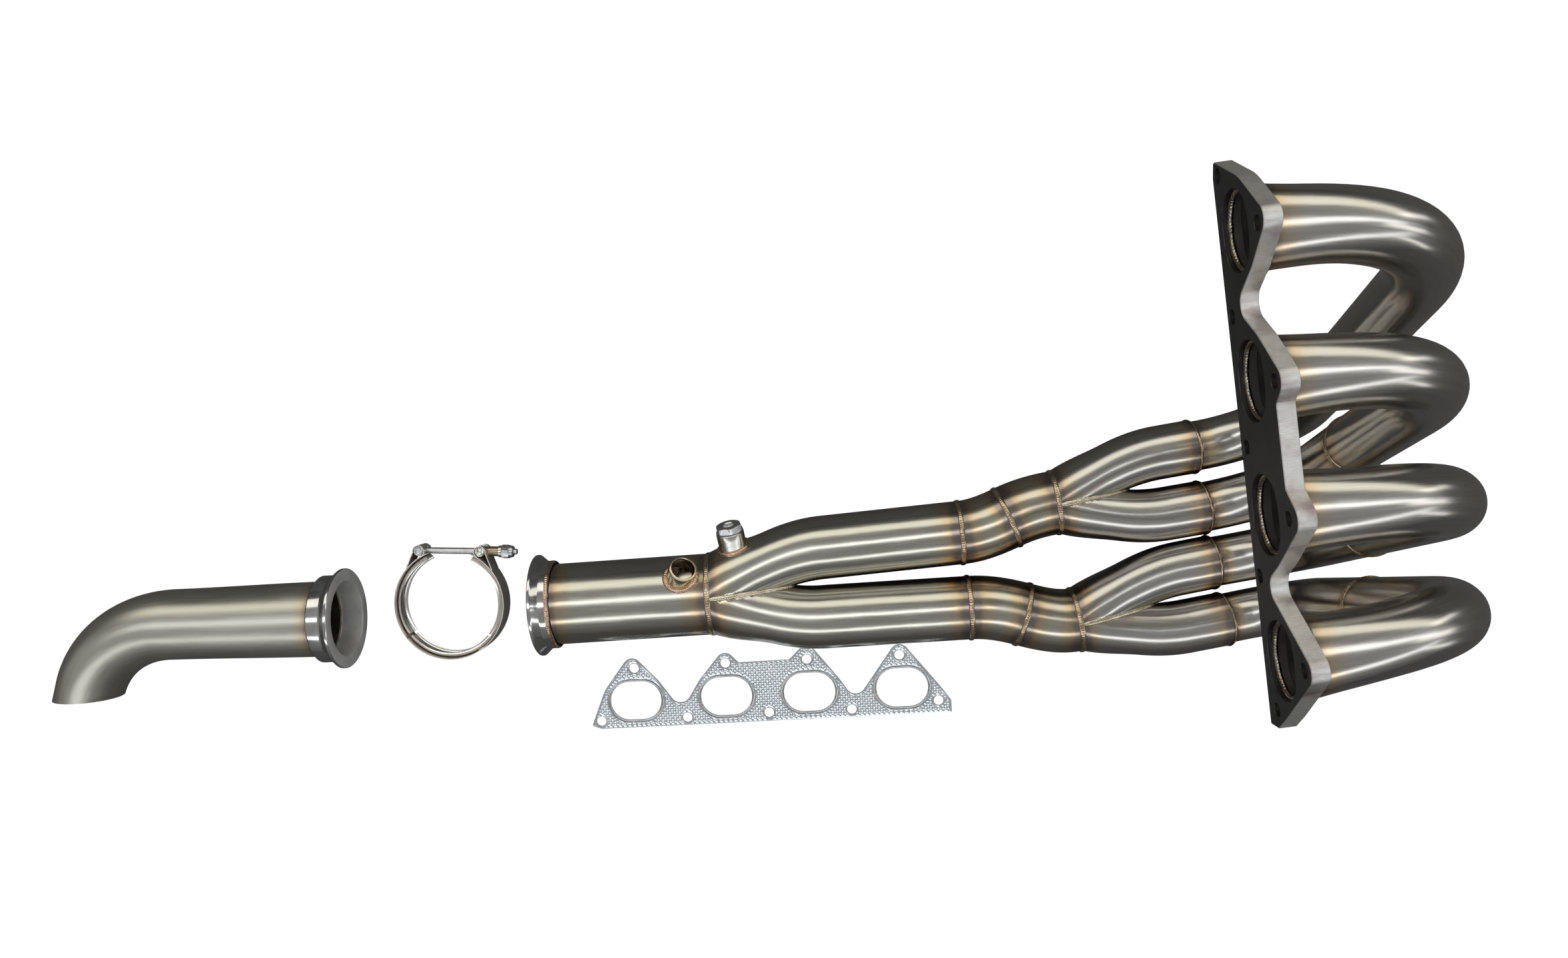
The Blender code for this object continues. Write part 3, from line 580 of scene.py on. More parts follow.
def tube_steel(name, tint_reach=1.0, tint=0.9, rough=0.17, steel=STEEL,
               inside=(0.27, 0.26, 0.24), inside_rough=(0.42, 0.6)):
    """Brushed stainless whose weld ends run through brown, gold and straw back to steel.
    The bore has its own duller roughness, and its darker colour is a painted shade."""
    n = Nodes(name)
    lay = n.attribute("lay", vector=True)
    streaks = n.noise(n.scaled(lay, (1, 1, 0.035)), 900, 3.0)
    broad = n.noise(n.scaled(lay, (1, 1, 0.25)), 38, 3.0)
    shade = n.sum_of(streaks, 0.5, broad, 0.5)
    base = n.ramp(shade, (0.3, times(steel, 0.80)), (0.7, times(steel, 1.06)))
    base = n.mix(n.maths("MULTIPLY", n.noise(lay, 22, 2.0), 0.25), base, BLOTCH)
    wobble = n.maths("SUBTRACT", n.noise(lay, 60, 2.0), 0.5)
    wobble = n.maths("MULTIPLY", wobble, TINT_WOBBLE * tint_reach)
    distance = n.maths("ADD", n.attribute("weld"), wobble)
    place = n.maths("DIVIDE", distance, TINT_REACH * tint_reach, clamp=True)
    colour = n.ramp(
        place, (0.0, BROWN), (0.07, PLUM), (0.15, BROWN), (0.27, GOLD), (0.42, STRAW),
        (0.75, steel), (1.0, steel),
    )
    amount = n.ramp(
        place, (0.0, tint), (0.12, tint * 0.8), (0.3, tint * 0.5), (0.55, tint * 0.22), (1.0, 0.0),
    )
    base = n.mix(amount, base, colour)
    # The bore's darker colour (inside) is a painted shade for the inside of the tube.
    base = n.mix(n.attribute("inner"), base, inside)
    roughness = n.ramp(shade, (0.25, rough - 0.05), (0.75, rough + 0.07))
    dull = n.ramp(broad, *zip((0.3, 0.7), inside_rough))
    roughness = n.mix(n.attribute("inner"), roughness, dull)
    normal = n.bump(streaks, 0.02 * MM, 0.5)
    waves = n.noise(n.scaled(lay, (1, 1, 0.35)), 48, 2.0)
    return n.finish(base, roughness, n.bump(waves, 0.8 * MM, 0.35, before=normal))


def weld_metal(name, bright=(0.70, 0.55, 0.36), dark=(0.26, 0.17, 0.13)):
    """Weld filler in patches of a dark and a bright tone, with a few of bare steel."""
    n = Nodes(name)
    lay = n.attribute("lay", vector=True)
    patches = n.noise(lay, 110, 3.0)
    fine = n.noise(lay, 900, 3.0)
    between = tuple((a + b) / 2 for a, b in zip(dark, bright))
    base = n.ramp(patches, (0.25, dark), (0.42, between), (0.58, bright), (0.75, (0.72, 0.68, 0.62)))
    roughness = n.ramp(fine, (0.3, 0.14), (0.7, 0.32))
    return n.finish(base, roughness, n.bump(fine, 0.05 * MM, 0.4))


def turned_steel(name, colour=(0.66, 0.655, 0.65), rough=0.12, tint=0.0, bore=0.0, face=0.0,
                 bore_metal=1.0, painted_bore_shade=1.0):
    """Lathe-turned metal: marks run round the axis. Metal nearer to the axis than bore, or
    nearer to the mating face than face, is duller, less metallic and darkened by the bore's painted
    shade."""
    n = Nodes(name)
    lay = n.attribute("lay", vector=True)
    marks = n.noise(lay, 2600, 2.0)
    smudge = n.noise(n.local(), 55, 3.0)
    base = n.ramp(smudge, (0.3, times(colour, 0.78)), (0.65, colour))
    base = n.mix(tint, base, STRAW)
    roughness = n.ramp(n.sum_of(marks, 0.5, smudge, 0.5), (0.3, rough * 0.7), (0.7, rough * 1.9))
    along, radius, _ = n.parts(lay)
    dull = n.maths("LESS_THAN", radius, bore)
    if face:
        dull = n.maths("MAXIMUM", dull, n.maths("LESS_THAN", along, face))
    roughness = n.mix(dull, roughness, (0.25,) * 3)
    # Colour in the bore is multiplied down: a painted shade for the dark inside of a bore.
    base = n.mix(dull, base, n.mix(1.0, base, (painted_bore_shade,) * 3, "MULTIPLY"))
    n.link(n.mix(dull, (1.0,) * 3, (bore_metal,) * 3), n.shader.inputs["Metallic"])
    return n.finish(base, roughness, n.bump(marks, 0.02 * MM, 0.6))


def polished_strip(name, colour=(0.70, 0.68, 0.65), rough=0.13, smudges=0.5):
    """Rolled and polished sheet with a few dull smudges."""
    n = Nodes(name)
    place = n.local()
    smudge = n.noise(place, 70, 4.0)
    grain = n.noise(n.scaled(place, (1, 1, 14)), 160, 3.0)
    spots = n.maths("MULTIPLY", n.ramp(smudge, (0.45, 0.0), (0.7, 1.0)), smudges)
    base = n.mix(spots, colour, (0.16, 0.14, 0.13))
    roughness = n.ramp(n.sum_of(smudge, 0.6, grain, 0.4), (0.3, rough * 0.8), (0.7, rough * 1.8))
    return n.finish(base, roughness, n.bump(grain, 0.01 * MM, 0.4))


def zinc_plate(name, colour=(0.86, 0.87, 0.88), rough=0.22):
    n = Nodes(name)
    mottle = n.noise(n.local(), 210, 3.0)
    base = n.ramp(mottle, (0.3, times(colour, 0.72)), (0.7, colour))
    roughness = n.ramp(mottle, (0.3, rough), (0.7, rough + 0.16))
    return n.finish(base, roughness, n.bump(mottle, 0.02 * MM, 0.5))


def blasted_plate(name):
    """Head flange: near-black faces, a painted shade, with fine blasted grit. The outer edge is
    bright and laser-cut, with fine striations, burnt patches and darker purple-brown towards
    the top; the walls of the holes are near black, a painted shade."""
    n = Nodes(name)
    place = n.local()
    face = n.ramp(n.attribute("face"), (0.9, 0.0), (1.0, 1.0))
    grit = n.noise(place, 1500, 4.0)
    cloud = n.noise(place, 26, 4.0)
    # The flat faces' near-black colour is a painted shade; the grit mixed in below is the blasting.
    painted_shade_face_colour = n.ramp(cloud, (0.3, (0.085, 0.087, 0.088)), (0.7, (0.135, 0.137, 0.138)))
    painted_shade_face_colour = n.mix(0.25, painted_shade_face_colour, n.ramp(grit, (0.3, 0.05), (0.7, 0.20)))
    cuts = n.noise(n.scaled(place, (1, 1, 0.12)), 2600, 4.0, 0.6)
    blots = n.noise(n.scaled(place, (1, 1, 0.6)), 60, 3.0)
    edge_colour = n.ramp(cuts, (0.25, (0.66, 0.645, 0.61)), (0.7, (0.88, 0.87, 0.85)))
    burnt = n.ramp(blots, (0.56, 0.0), (0.75, 0.6))
    edge_colour = n.mix(burnt, edge_colour, (0.24, 0.16, 0.16))
    # Darker purple-brown towards the top of the outline, growing with height above 45 mm.
    above = n.maths("ADD", n.parts(place)["Y"], -45 * MM)
    height = n.maths("DIVIDE", above, 26 * MM, clamp=True)
    darker_towards_top = n.maths("MULTIPLY", height, n.ramp(blots, (0.4, 0.0), (0.62, 0.7)))
    edge_colour = n.mix(darker_towards_top, edge_colour, (0.30, 0.20, 0.21))
    # Port and stud hole walls (rim 0) are near black: a painted shade inside the holes.
    edge_colour = n.mix(n.attribute("rim"), (0.10, 0.095, 0.09), edge_colour)
    base = n.mix(face, edge_colour, painted_shade_face_colour)
    edge_rough = n.ramp(cuts, (0.3, 0.30), (0.7, 0.48))
    roughness = n.mix(face, edge_rough, n.ramp(grit, (0.3, 0.42), (0.7, 0.6)))
    n.shader.inputs["Metallic"].default_value = 0.9
    return n.finish(base, roughness, n.bump(n.mix(face, cuts, grit), 0.18 * MM, 0.8))


def gasket_steel(name):
    """Pale, slightly clouded sheet."""
    n = Nodes(name)
    place = n.local()
    cloud = n.noise(place, 30, 4.0)
    fine = n.noise(place, 900, 3.0)
    base = n.ramp(cloud, (0.3, (0.70, 0.75, 0.77)), (0.7, (0.84, 0.88, 0.90)))
    roughness = n.ramp(n.sum_of(cloud, 0.5, fine, 0.5), (0.3, 0.2), (0.7, 0.3))
    return n.finish(base, roughness, n.bump(fine, 0.04 * MM, 0.5))


MATERIALS = {
    "tube": tube_steel("look_tube_brushed", rough=0.195),
    "primary": tube_steel("look_tube_primary", 0.8, 0.85, 0.2, (0.62, 0.60, 0.565)),
    # The tip's bore colour, darker than its steel, is a painted shade.
    "tip": tube_steel(
        "look_tip_satin", 0.6, 0.75, 0.34, (0.70, 0.685, 0.61), (0.52, 0.51, 0.47), (0.2, 0.3),
    ),
    "weld": weld_metal("look_weld_bronze"),
    # A darker copy of the weld for the bead deep inside each port: a painted shade.
    "shaded_port_weld": weld_metal("look_weld_port", (0.46, 0.40, 0.31), (0.14, 0.11, 0.09)),
    "collar_weld": weld_metal("look_weld_collar", (0.78, 0.56, 0.40), (0.36, 0.20, 0.14)),
    "seam": weld_metal("look_weld_seam", (0.88, 0.80, 0.60), (0.56, 0.47, 0.33)),
    "turned": turned_steel(
        "look_turned_bright", (0.74, 0.735, 0.725), 0.1, bore=VBAND_BORE_R + 0.2 * MM,
        face=0.25 * MM, bore_metal=0.35,
    ),
    # The bung's bore colour is cut to 0.3: a painted shade for the dark threaded hole.
    "bung": turned_steel(
        "look_turned_bung", (0.74, 0.66, 0.52), 0.14, 0.3, bore=BUNG_BORE_R + 0.45 * MM,
        painted_bore_shade=0.3,
    ),
    "spare": turned_steel("look_turned_spare", (0.70, 0.68, 0.64), 0.16),
    "strip": polished_strip("look_polished_strip", (0.90, 0.88, 0.84), 0.17, 0.1),
    "strap": polished_strip("look_polished_strap", (0.92, 0.88, 0.82), 0.34, 0.25),
    "zinc": zinc_plate("look_bright_zinc"),
    "sleeve": zinc_plate("look_sleeve_tan", (0.58, 0.48, 0.34), 0.25),
    "flange": blasted_plate("look_blasted_plate"),
    "gasket": gasket_steel("look_gasket_sheet"),
    "fire": turned_steel("look_fire_ring", (0.74, 0.75, 0.76), 0.13),
}


# ---------------------------------------------------------------- frames

def rotation_z(angle):
    return Matrix.Rotation(angle, 4, "Z")


def flange_frame():
    """x along the ports, y up, z out of the face that meets the cylinder head."""
    yaw, lean, roll = FLANGE_TURNS
    upright = Matrix(((0, 0, -1), (-1, 0, 0), (0, 1, 0))).to_4x4()
    turn = rotation_z(yaw) @ Matrix.Rotation(lean, 4, "Y") @ Matrix.Rotation(roll, 4, "X")
    return Matrix.Translation(FLANGE_ORIGIN) @ turn @ upright


FLANGE_FRAME = flange_frame()
GASKET_FRAME = Matrix.Translation(GASKET_ORIGIN) @ rotation_z(GASKET_TURN)
TIP_FRAME = (
    Matrix.Translation((TIP_FACE_X, AXIS_Y, AXIS_Z))
    @ rotation_z(TIP_YAW) @ Matrix.Rotation(TIP_CLOCK, 4, "X")
)
CLAMP_FRAME = Matrix.Translation(CLAMP_ORIGIN) @ rotation_z(CLAMP_TURN)


# ---------------------------------------------------------------- head flange

def pattern_loops(port_half):
    """The flange's outline, its ports and its stud holes; the gasket has them too."""
    corners = [(Vector((u, v)) * MM, radius * MM) for u, v, radius in OUTLINE]
    outline = round_corners(corners, math.radians(5), closed=True)
    ports = [stadium((u, PORT_V), port_half) for u in PORT_U]
    holes = [circle(stud, STUD_HOLE_R) for stud in STUDS]
    return [outline, *ports, *holes]


def inward(loop, amount, outline):
    """The loop moved into the metal: inwards for the outline, outwards for a hole."""
    count = len(loop)
    area = sum(loop[i - 1].x * loop[i].y - loop[i].x * loop[i - 1].y for i in range(count))
    turn = 1 if (area > 0) == outline else -1
    moved = []
    for i in range(count):
        run = loop[(i + 1) % count] - loop[i - 1]
        left = Vector((-run.y, run.x)).normalized() * turn
        moved.append(loop[i] + left * amount)
    return moved


def make_head_flange():
    """A plate with eased edges: straight cut walls, two small bevels and flat faces. rim
    marks the outline's wall, and face the points of the flat faces."""
    loops, low, high, ease = pattern_loops(PORT_HALF), -FLANGE_THICK, 0.0, 0.45 * MM
    heights = [(low, ease), (low + ease, 0.0), (high - ease, 0.0), (high, ease)]
    points, faces, rim, face = [], [], [], []
    top_rings, bottom_rings = [], []
    for index, loop in enumerate(loops):
        rings = []
        rim += [float(index == 0)] * (len(loop) * len(heights))
        for height, inset in heights:
            ring = inward(loop, inset, index == 0) if inset else loop
            rings.append(list(range(len(points), len(points) + len(ring))))
            points += [Vector((p.x, p.y, height)) for p in ring]
            face += [float(inset > 0)] * len(ring)
        for a, b in zip(rings, rings[1:]):
            for j in range(len(loop)):
                k = (j + 1) % len(loop)
                faces.append((a[j], a[k], b[k], b[j]))
        bottom_rings.append(rings[0])
        top_rings.append(rings[-1])
    for rings in (bottom_rings, top_rings):
        numbers = flattened(rings)
        flat_points = [Vector((points[i].x, points[i].y)) for i in numbers]
        _, triangles = sheet_triangles(flat_points, loop_edges(rings), loops)
        faces += [tuple(numbers[i] for i in triangle) for triangle in triangles]
    put(
        "look_head_flange", points, faces, "header", "flange", "blasted_flange",
        ("head_flange",), FLANGE_FRAME, sharp=35, rim=rim, face=face,
    )


# ---------------------------------------------------------------- runners and merges

def runner_points(i):
    top, low, end = (Vector((*point, 0)[:3]) * MM for point in RUNNERS[i])
    low.z = LOW_CORNER_Z
    end.z = LEG_END_Z
    return top, low, end


def make_runners():
    for i in range(len(RUNNERS)):
        port = FLANGE_FRAME @ Vector((PORT_U[i], PORT_V, -FLANGE_THICK - GAP))
        top, low, end = runner_points(i)
        weld = top.lerp(low, (top.z - RUNNER_WELD_Z[i]) / (top.z - low.z))
        along = (top - port).normalized()
        bend = round_corners([(port, 0), (top, TOP_BEND_R), (weld, 0)], ARC_STEP)
        oval_end = port + along * min(PORT_TRANSITION, (bend[1] - port).length * 0.9)
        upper = filled_in(trimmed([port, oval_end, *bend[1:]], 0.0), STATION)
        radii, run = [], 0.0
        for j, point in enumerate(upper):
            run += (point - upper[j - 1]).length if j else 0.0
            part = min(1.0, run / (2 * PORT_TRANSITION))
            part = part * (2 - part)
            radii.append(tuple(a + (PRIMARY_R - a) * part for a in PORT_MOUTH))
        directions = tangents_of(upper)
        directions[0] = FLANGE_FRAME.to_3x3() @ -Z
        rings = tube_rings(upper, radii, FLANGE_FRAME.to_3x3() @ Y, directions)
        tube(f"look_runner_{i + 1}_upper_bend", *rings, "primary")
        line = round_corners([(weld, 0), (low, LOW_BEND_R[i]), (end, 0)], ARC_STEP)
        rings = tube_rings(filled_in(trimmed(line), STATION), PRIMARY_R, X)
        tube(f"look_runner_{i + 1}_lower_bend", *rings, "primary")
        down = (low - top).normalized()
        ring_weld(f"look_weld_runner_{i + 1}", weld, down, PRIMARY_R, i, up=X)
        make_port_weld(i)
        slip = (low - end).normalized()
        ring_weld(  # a fillet from the slip leg's end down to the thinner primary
            f"look_weld_slip_{i + 1}", end + slip * 0.9 * MM, slip, PRIMARY_R + 1.1 * MM,
            i + 20, "slip", lean=0.75,
        )


LINER_WALL, LINER_DEPTH = 1.3 * MM, 4.0 * MM  # the runner's end inside the port


def oval_bead(name, i, half, depth, lean, bead, finish, seed):
    """A bead laid round port i, depth behind the face that meets the head. lean is its
    outward and its face-ward tilt."""
    samples = int(2 * math.pi * half[0] / BEAD_SPACING)
    path, normals = [], []
    for k in range(samples):
        a = 2 * math.pi * k / samples
        flat = Vector((PORT_U[i] + half[0] * math.cos(a), PORT_V + half[1] * math.sin(a), -depth))
        outwards = Vector((math.cos(a) / half[0], math.sin(a) / half[1], 0)).normalized()
        tilt = outwards * lean[0] + Vector((0, 0, lean[1]))
        path.append(FLANGE_FRAME @ flat)
        normals.append((FLANGE_FRAME.to_3x3() @ tilt).normalized())
    weld_bead(name, path, normals, bead, finish, seed)


def make_port_weld(i):
    """The fillet where a runner's oval mouth meets the plate, the runner's end seen inside
    the port, and the bead that seals it there."""
    outer = tuple(a + 1.3 * MM for a in PORT_MOUTH)
    behind = FLANGE_THICK + GAP + 0.6 * MM
    oval_bead(
        f"look_weld_port_{i + 1}_outer", i, outer, behind, (0.8, -0.6), "port_outer", "weld", i,
    )
    inner = tuple(a - LINER_WALL for a in PORT_HALF)
    # The bead deep in the port is in the darker weld copy, a painted shade.
    oval_bead(
        f"look_weld_port_{i + 1}_inner", i, inner, LINER_DEPTH, (-0.7, 0.7), "port_inner",
        "shaded_port_weld", i + 9,
    )
    rings, weld = [], []
    for grow, depth in (
        (-0.05 * MM, LINER_DEPTH), (-0.05 * MM, FLANGE_THICK), (-LINER_WALL, FLANGE_THICK),
        (-LINER_WALL, (LINER_DEPTH + FLANGE_THICK) / 2), (-LINER_WALL, LINER_DEPTH),
    ):
        half = tuple(a + grow for a in PORT_HALF)
        loop = stadium((PORT_U[i], PORT_V), half)
        rings.append([Vector((p.x, p.y, -depth)) for p in loop])
        weld += [depth - LINER_DEPTH] * len(loop)
    points = flattened(rings)
    # The liner is all bore (inner 1), so it takes the bore's darker colour: a painted shade in the port.
    put(
        f"look_port_liner_{i + 1}", points, grid_faces(len(rings), len(rings[0]), True),
        "header", "tube", "tube_stainless", place=FLANGE_FRAME, weld=weld,
        inner=[1.0] * len(points), lay=[tuple(point) for point in points],
    )


MERGE_STEPS = 42


def merge_leg(name, ring, yaw, sign, ring_r, leg_r, offset, length, end, end_direction, finish):
    """One of two tubes leaving a ring side by side, flattened where they meet. Returns the
    seam between them, as (middle of the tube, the seam's height above and below it)."""
    centre, ring_yaw, end_z = ring
    ahead, away = level(yaw), level(yaw + math.pi / 2) * sign
    points, directions, radii, seam = [], [], [], []
    for i in range(MERGE_STEPS + 1):
        part = i / MERGE_STEPS
        radius = ring_r + (leg_r - ring_r) * smooth_step(min(1.0, part * 2))
        out = offset * math.sin(math.pi / 2 * part)
        point = centre + ahead * length * part
        point.z = centre.z + (end_z - centre.z) * part
        if radius > out:
            seam.append((point.copy(), math.sqrt(radius**2 - out**2)))
        points.append(point + away * out)
        radii.append((radius, radius))
        directions.append(ahead)
    run = filled_in([points[-1], end], STATION)[1:]
    for point in run:
        part = (point - points[MERGE_STEPS]).length / max(1e-6, (end - points[MERGE_STEPS]).length)
        points.append(point)
        radii.append((leg_r, leg_r))
        directions.append(ahead.lerp(end_direction, part).normalized())
    directions[0], directions[-1] = level(ring_yaw), end_direction
    points[0] = points[0] + directions[0] * GAP / 2
    points[-1] = points[-1] - directions[-1] * GAP / 2
    outer, inner = tube_rings(points, radii, Z, directions)
    for rings, clearance in ((outer, GAP / 2), (inner, GAP / 2 + WALL)):
        for ring_points in rings[: MERGE_STEPS + 1]:
            for point in ring_points:
                short = clearance - (point - centre).dot(away)
                if short > 0:
                    point += away * short
    tube(name, outer, inner, finish)
    return seam


def seam_weld(name, seam, seed):
    """A bead that runs back along the top valley, down the crotch and back underneath."""
    onwards = (seam[-1][0] - seam[-2][0]).normalized()
    path = [point + Z * height for point, height in seam]
    path.append(seam[-1][0] + onwards * 2 * MM)
    path += [point - Z * height for point, height in seam[::-1]]
    normals = [Z] * len(seam) + [onwards] + [-Z] * len(seam)
    path, normals = resampled(path, normals, 0.34 * MM)
    weld_bead(name, path, normals, "seam", "seam", seed, closed=False)


def resampled(path, normals, spacing):
    """The path with points added, and the normals turned evenly between its own."""
    made, turned = [path[0]], [normals[0]]
    for a, b, m, n in zip(path, path[1:], normals, normals[1:]):
        parts = max(1, math.ceil((b - a).length / spacing))
        for i in range(1, parts + 1):
            made.append(a.lerp(b, i / parts))
            turned.append(m.lerp(n, i / parts).normalized())
    return made, turned


def make_first_merges():
    for i, (centre, ring_yaw) in enumerate(FIRST_MERGES):
        centre = Vector(centre)
        ends = [runner_points(2 * i + j)[2] for j in (0, 1)]
        middle = (ends[0] + ends[1]) / 2
        yaw = math.atan2(middle.y - centre.y, middle.x - centre.x)
        away = level(yaw + math.pi / 2)
        for j, sign in ((0, 1), (1, -1)):
            end = ends[j]
            outward = (runner_points(2 * i + j)[1] - end).normalized()
            offset = (end - middle).dot(away) * sign
            seam = merge_leg(
                f"look_merge_leg_{2 * i + j + 1}", (centre, ring_yaw, LEG_END_Z), yaw, sign,
                SECONDARY_R, SLIP_LEG_R, offset, FIRST_MERGE_LENGTH, end, outward, "primary",
            )
        seam_weld(f"look_weld_first_merge_seam_{i + 1}", seam, 40 + i)
        ring_weld(
            f"look_weld_first_merge_ring_{i + 1}", centre, level(ring_yaw), SECONDARY_R,
            50 + i, "first_merge",
        )


# ---------------------------------------------------------------- secondaries and collector

def hermite(start, start_yaw, end, end_yaw, steps=14):
    """A smooth line between two points that leaves and arrives level, at the given yaws."""
    span = (end - start).length
    out, into = level(start_yaw) * span, level(end_yaw) * span
    points = []
    for i in range(steps + 1):
        t = i / steps
        points.append(
            start * (2 * t**3 - 3 * t**2 + 1) + out * (t**3 - 2 * t**2 + t)
            + end * (3 * t**2 - 2 * t**3) + into * (t**3 - t**2)
        )
    return points


def make_secondaries():
    ring = Vector((COLLECTOR_WELD_X, AXIS_Y, AXIS_Z))
    for i, name in enumerate(("secondary_12", "secondary_34")):
        sign = 1 - 2 * i
        end, mitre = (Vector(point) for point in SECONDARY_ENDS[i])
        end_yaw, mitre_yaw = SECONDARY_YAWS[i]
        merge, merge_yaw = Vector(FIRST_MERGES[i][0]), FIRST_MERGES[i][1]
        leg_z = AXIS_Z + (end.z - AXIS_Z) * SECOND_MERGE_LENGTH / (end.x - COLLECTOR_WELD_X)
        seam = merge_leg(
            f"look_{name}_tube", (ring, 0.0, leg_z), SECOND_MERGE_YAW, sign, COLLECTOR_R,
            SECONDARY_R, SECOND_MERGE_OFFSET, SECOND_MERGE_LENGTH, end, level(end_yaw), "tube",
        )
        for place, ends in (
            ("rear", (end, end_yaw, mitre, mitre_yaw)),
            ("front", (mitre, mitre_yaw, merge, merge_yaw)),
        ):
            line = trimmed(hermite(*ends))
            directions = tangents_of(line)
            directions[0], directions[-1] = level(ends[1]), level(ends[3])
            rings = tube_rings(line, SECONDARY_R, Z, directions)
            tube(f"look_{name}_bend_{place}", *rings, "tube")
        ring_weld(f"look_weld_{name}_end", end, level(end_yaw), SECONDARY_R, 60 + i)
        ring_weld(f"look_weld_{name}_mitre", mitre, level(mitre_yaw), SECONDARY_R, 62 + i)
    seam_weld("look_weld_second_merge_seam", seam, 44)
    ring_weld("look_weld_collector_ring", ring, X, COLLECTOR_R, 70, "collector")


VBAND_RIM = [  # distance from the mating face, radius, in mm: lip, then a taper for the clamp
    (0.0, 44.9), (0.8, 45.75), (2.6, 45.75), (3.6, 44.9), (8.5, 40.4), (10.5, 39.8),
]


def vband_profile(length):
    """The section of a V-band flange, from its mating face to the end of its hub."""
    rim = [(along * MM, radius * MM) for along, radius in VBAND_RIM]
    hub = [(length, rim[-1][1]), (length, VBAND_BORE_R)]
    return eased([(0.0, VBAND_BORE_R), *rim, *hub], 0.35 * MM)


def make_collector():
    face = Vector((COLLECTOR_FACE_X, AXIS_Y, AXIS_Z))
    lathe(
        "look_collector_vband_flange", vband_profile(COLLECTOR_HUB), face, X, "header",
        "turned", "machined_stainless", ("collector_vband_flange",),
    )
    start = face.x + COLLECTOR_HUB + GAP
    end = COLLECTOR_WELD_X - GAP / 2
    line = filled_in([Vector((start, AXIS_Y, AXIS_Z)), Vector((end, AXIS_Y, AXIS_Z))], 4 * MM)
    tube("look_collector_tube", *tube_rings(line, COLLECTOR_R, Z, sides=WIDE_TUBE_SIDES), "tube")
    ring_weld(
        "look_weld_collector_flange", Vector((start + 0.7 * MM, AXIS_Y, AXIS_Z)), X,
        COLLECTOR_R + 1.5 * MM, 72, "collar", "collar_weld",
    )


def bung_axis(tilt):
    """Straight up, leant towards +Y and then +X."""
    to_y, to_x = tilt
    flat = math.cos(to_x)
    return Vector((math.sin(to_x), flat * math.sin(to_y), flat * math.cos(to_y)))


def thread_rings(profile_r, depth, pitch, low, high, foot, axis, sides=BAR_SIDES):
    """Rings of a threaded wall: a helix is traced by giving every ring's points a phase."""
    side, up = square_to(axis)
    rings = []
    steps = max(2, int((high - low) / (pitch / 6)))
    for i in range(steps + 1):
        along = low + (high - low) * i / steps
        ease = min(1.0, 3.0 * min(i, steps - i) / steps + 0.05)
        ring = []
        for j in range(sides):
            angle = 2 * math.pi * j / sides
            phase = (along / pitch - angle / (2 * math.pi)) % 1.0
            radius = profile_r + depth * ease * (abs(2 * phase - 1) - 0.5) * 2
            ring.append(foot + axis * along + (side * math.cos(angle) + up * math.sin(angle)) * radius)
        rings.append(ring)
    return rings


BUNG_SIDES, BUNG_EDGE_R = 60, 1.2 * MM


def make_bung(name, place, tilt, host, finish, seed):
    """A threaded boss, and the fillet weld where it stands on its tube."""
    foot, surface, axis = Vector(place[0]), place[1], bung_axis(tilt)
    low, high = surface - BUNG_DEPTH, surface + BUNG_HEIGHT
    side, up = square_to(axis)

    def ring_at(along, radius):
        return section(foot + axis * along, side, up, radius, radius, BUNG_SIDES)

    shoulder = high - BUNG_EDGE_R
    rings = [ring_at(low + (shoulder - low) * i / 4, BUNG_R) for i in range(5)]
    for i in range(1, 5):
        a = math.pi / 2 * i / 4
        radius = BUNG_R - BUNG_EDGE_R * (1 - math.cos(a))
        rings.append(ring_at(shoulder + BUNG_EDGE_R * math.sin(a), radius))
    rings.append(ring_at(high, BUNG_BORE_R + 0.8 * MM))
    rings.append(ring_at(high - 0.9 * MM, BUNG_BORE_R + 0.1 * MM))
    rings += thread_rings(
        BUNG_BORE_R, 0.3 * MM, 1.5 * MM, low + 0.3 * MM, high - 2.2 * MM, foot, axis, BUNG_SIDES,
    )[::-1]
    points, lay = flattened(rings), []
    for point in points:
        along = (point - foot).dot(axis)
        lay.append((along, (point - foot - axis * along).length, 0))
    put(
        f"look_{name}", points, grid_faces(len(rings), BUNG_SIDES, True), "header", finish,
        "machined_stainless", (name,), lay=lay, weld=[1.0] * len(points), sharp=40,
    )
    host = bpy.data.objects[host]
    surface_tree = BVHTree.FromObject(host, bpy.context.evaluated_depsgraph_get())
    samples = 240
    path, normals = [], []
    for k in range(samples):
        a = 2 * math.pi * k / samples
        out = side * math.cos(a) + up * math.sin(a)
        start = foot + axis * (high + 30 * MM) + out * (BUNG_R + 0.9 * MM)
        hit, normal, _, _ = surface_tree.ray_cast(start, -axis)
        if hit is None:
            raise ValueError(f"{name}: the bung's foot misses its tube")
        path.append(hit + normal * 0.25 * MM)
        normals.append((normal + out * 0.35 + axis * 0.35).normalized())
    after, before = path[1:] + path[:1], path[-1:] + path[:-1]
    path = [a * 0.5 + (b + c) * 0.25 for a, b, c in zip(path, after, before)]
    weld_bead(f"look_weld_{name}", path, normals, "bung", "collar_weld", seed)


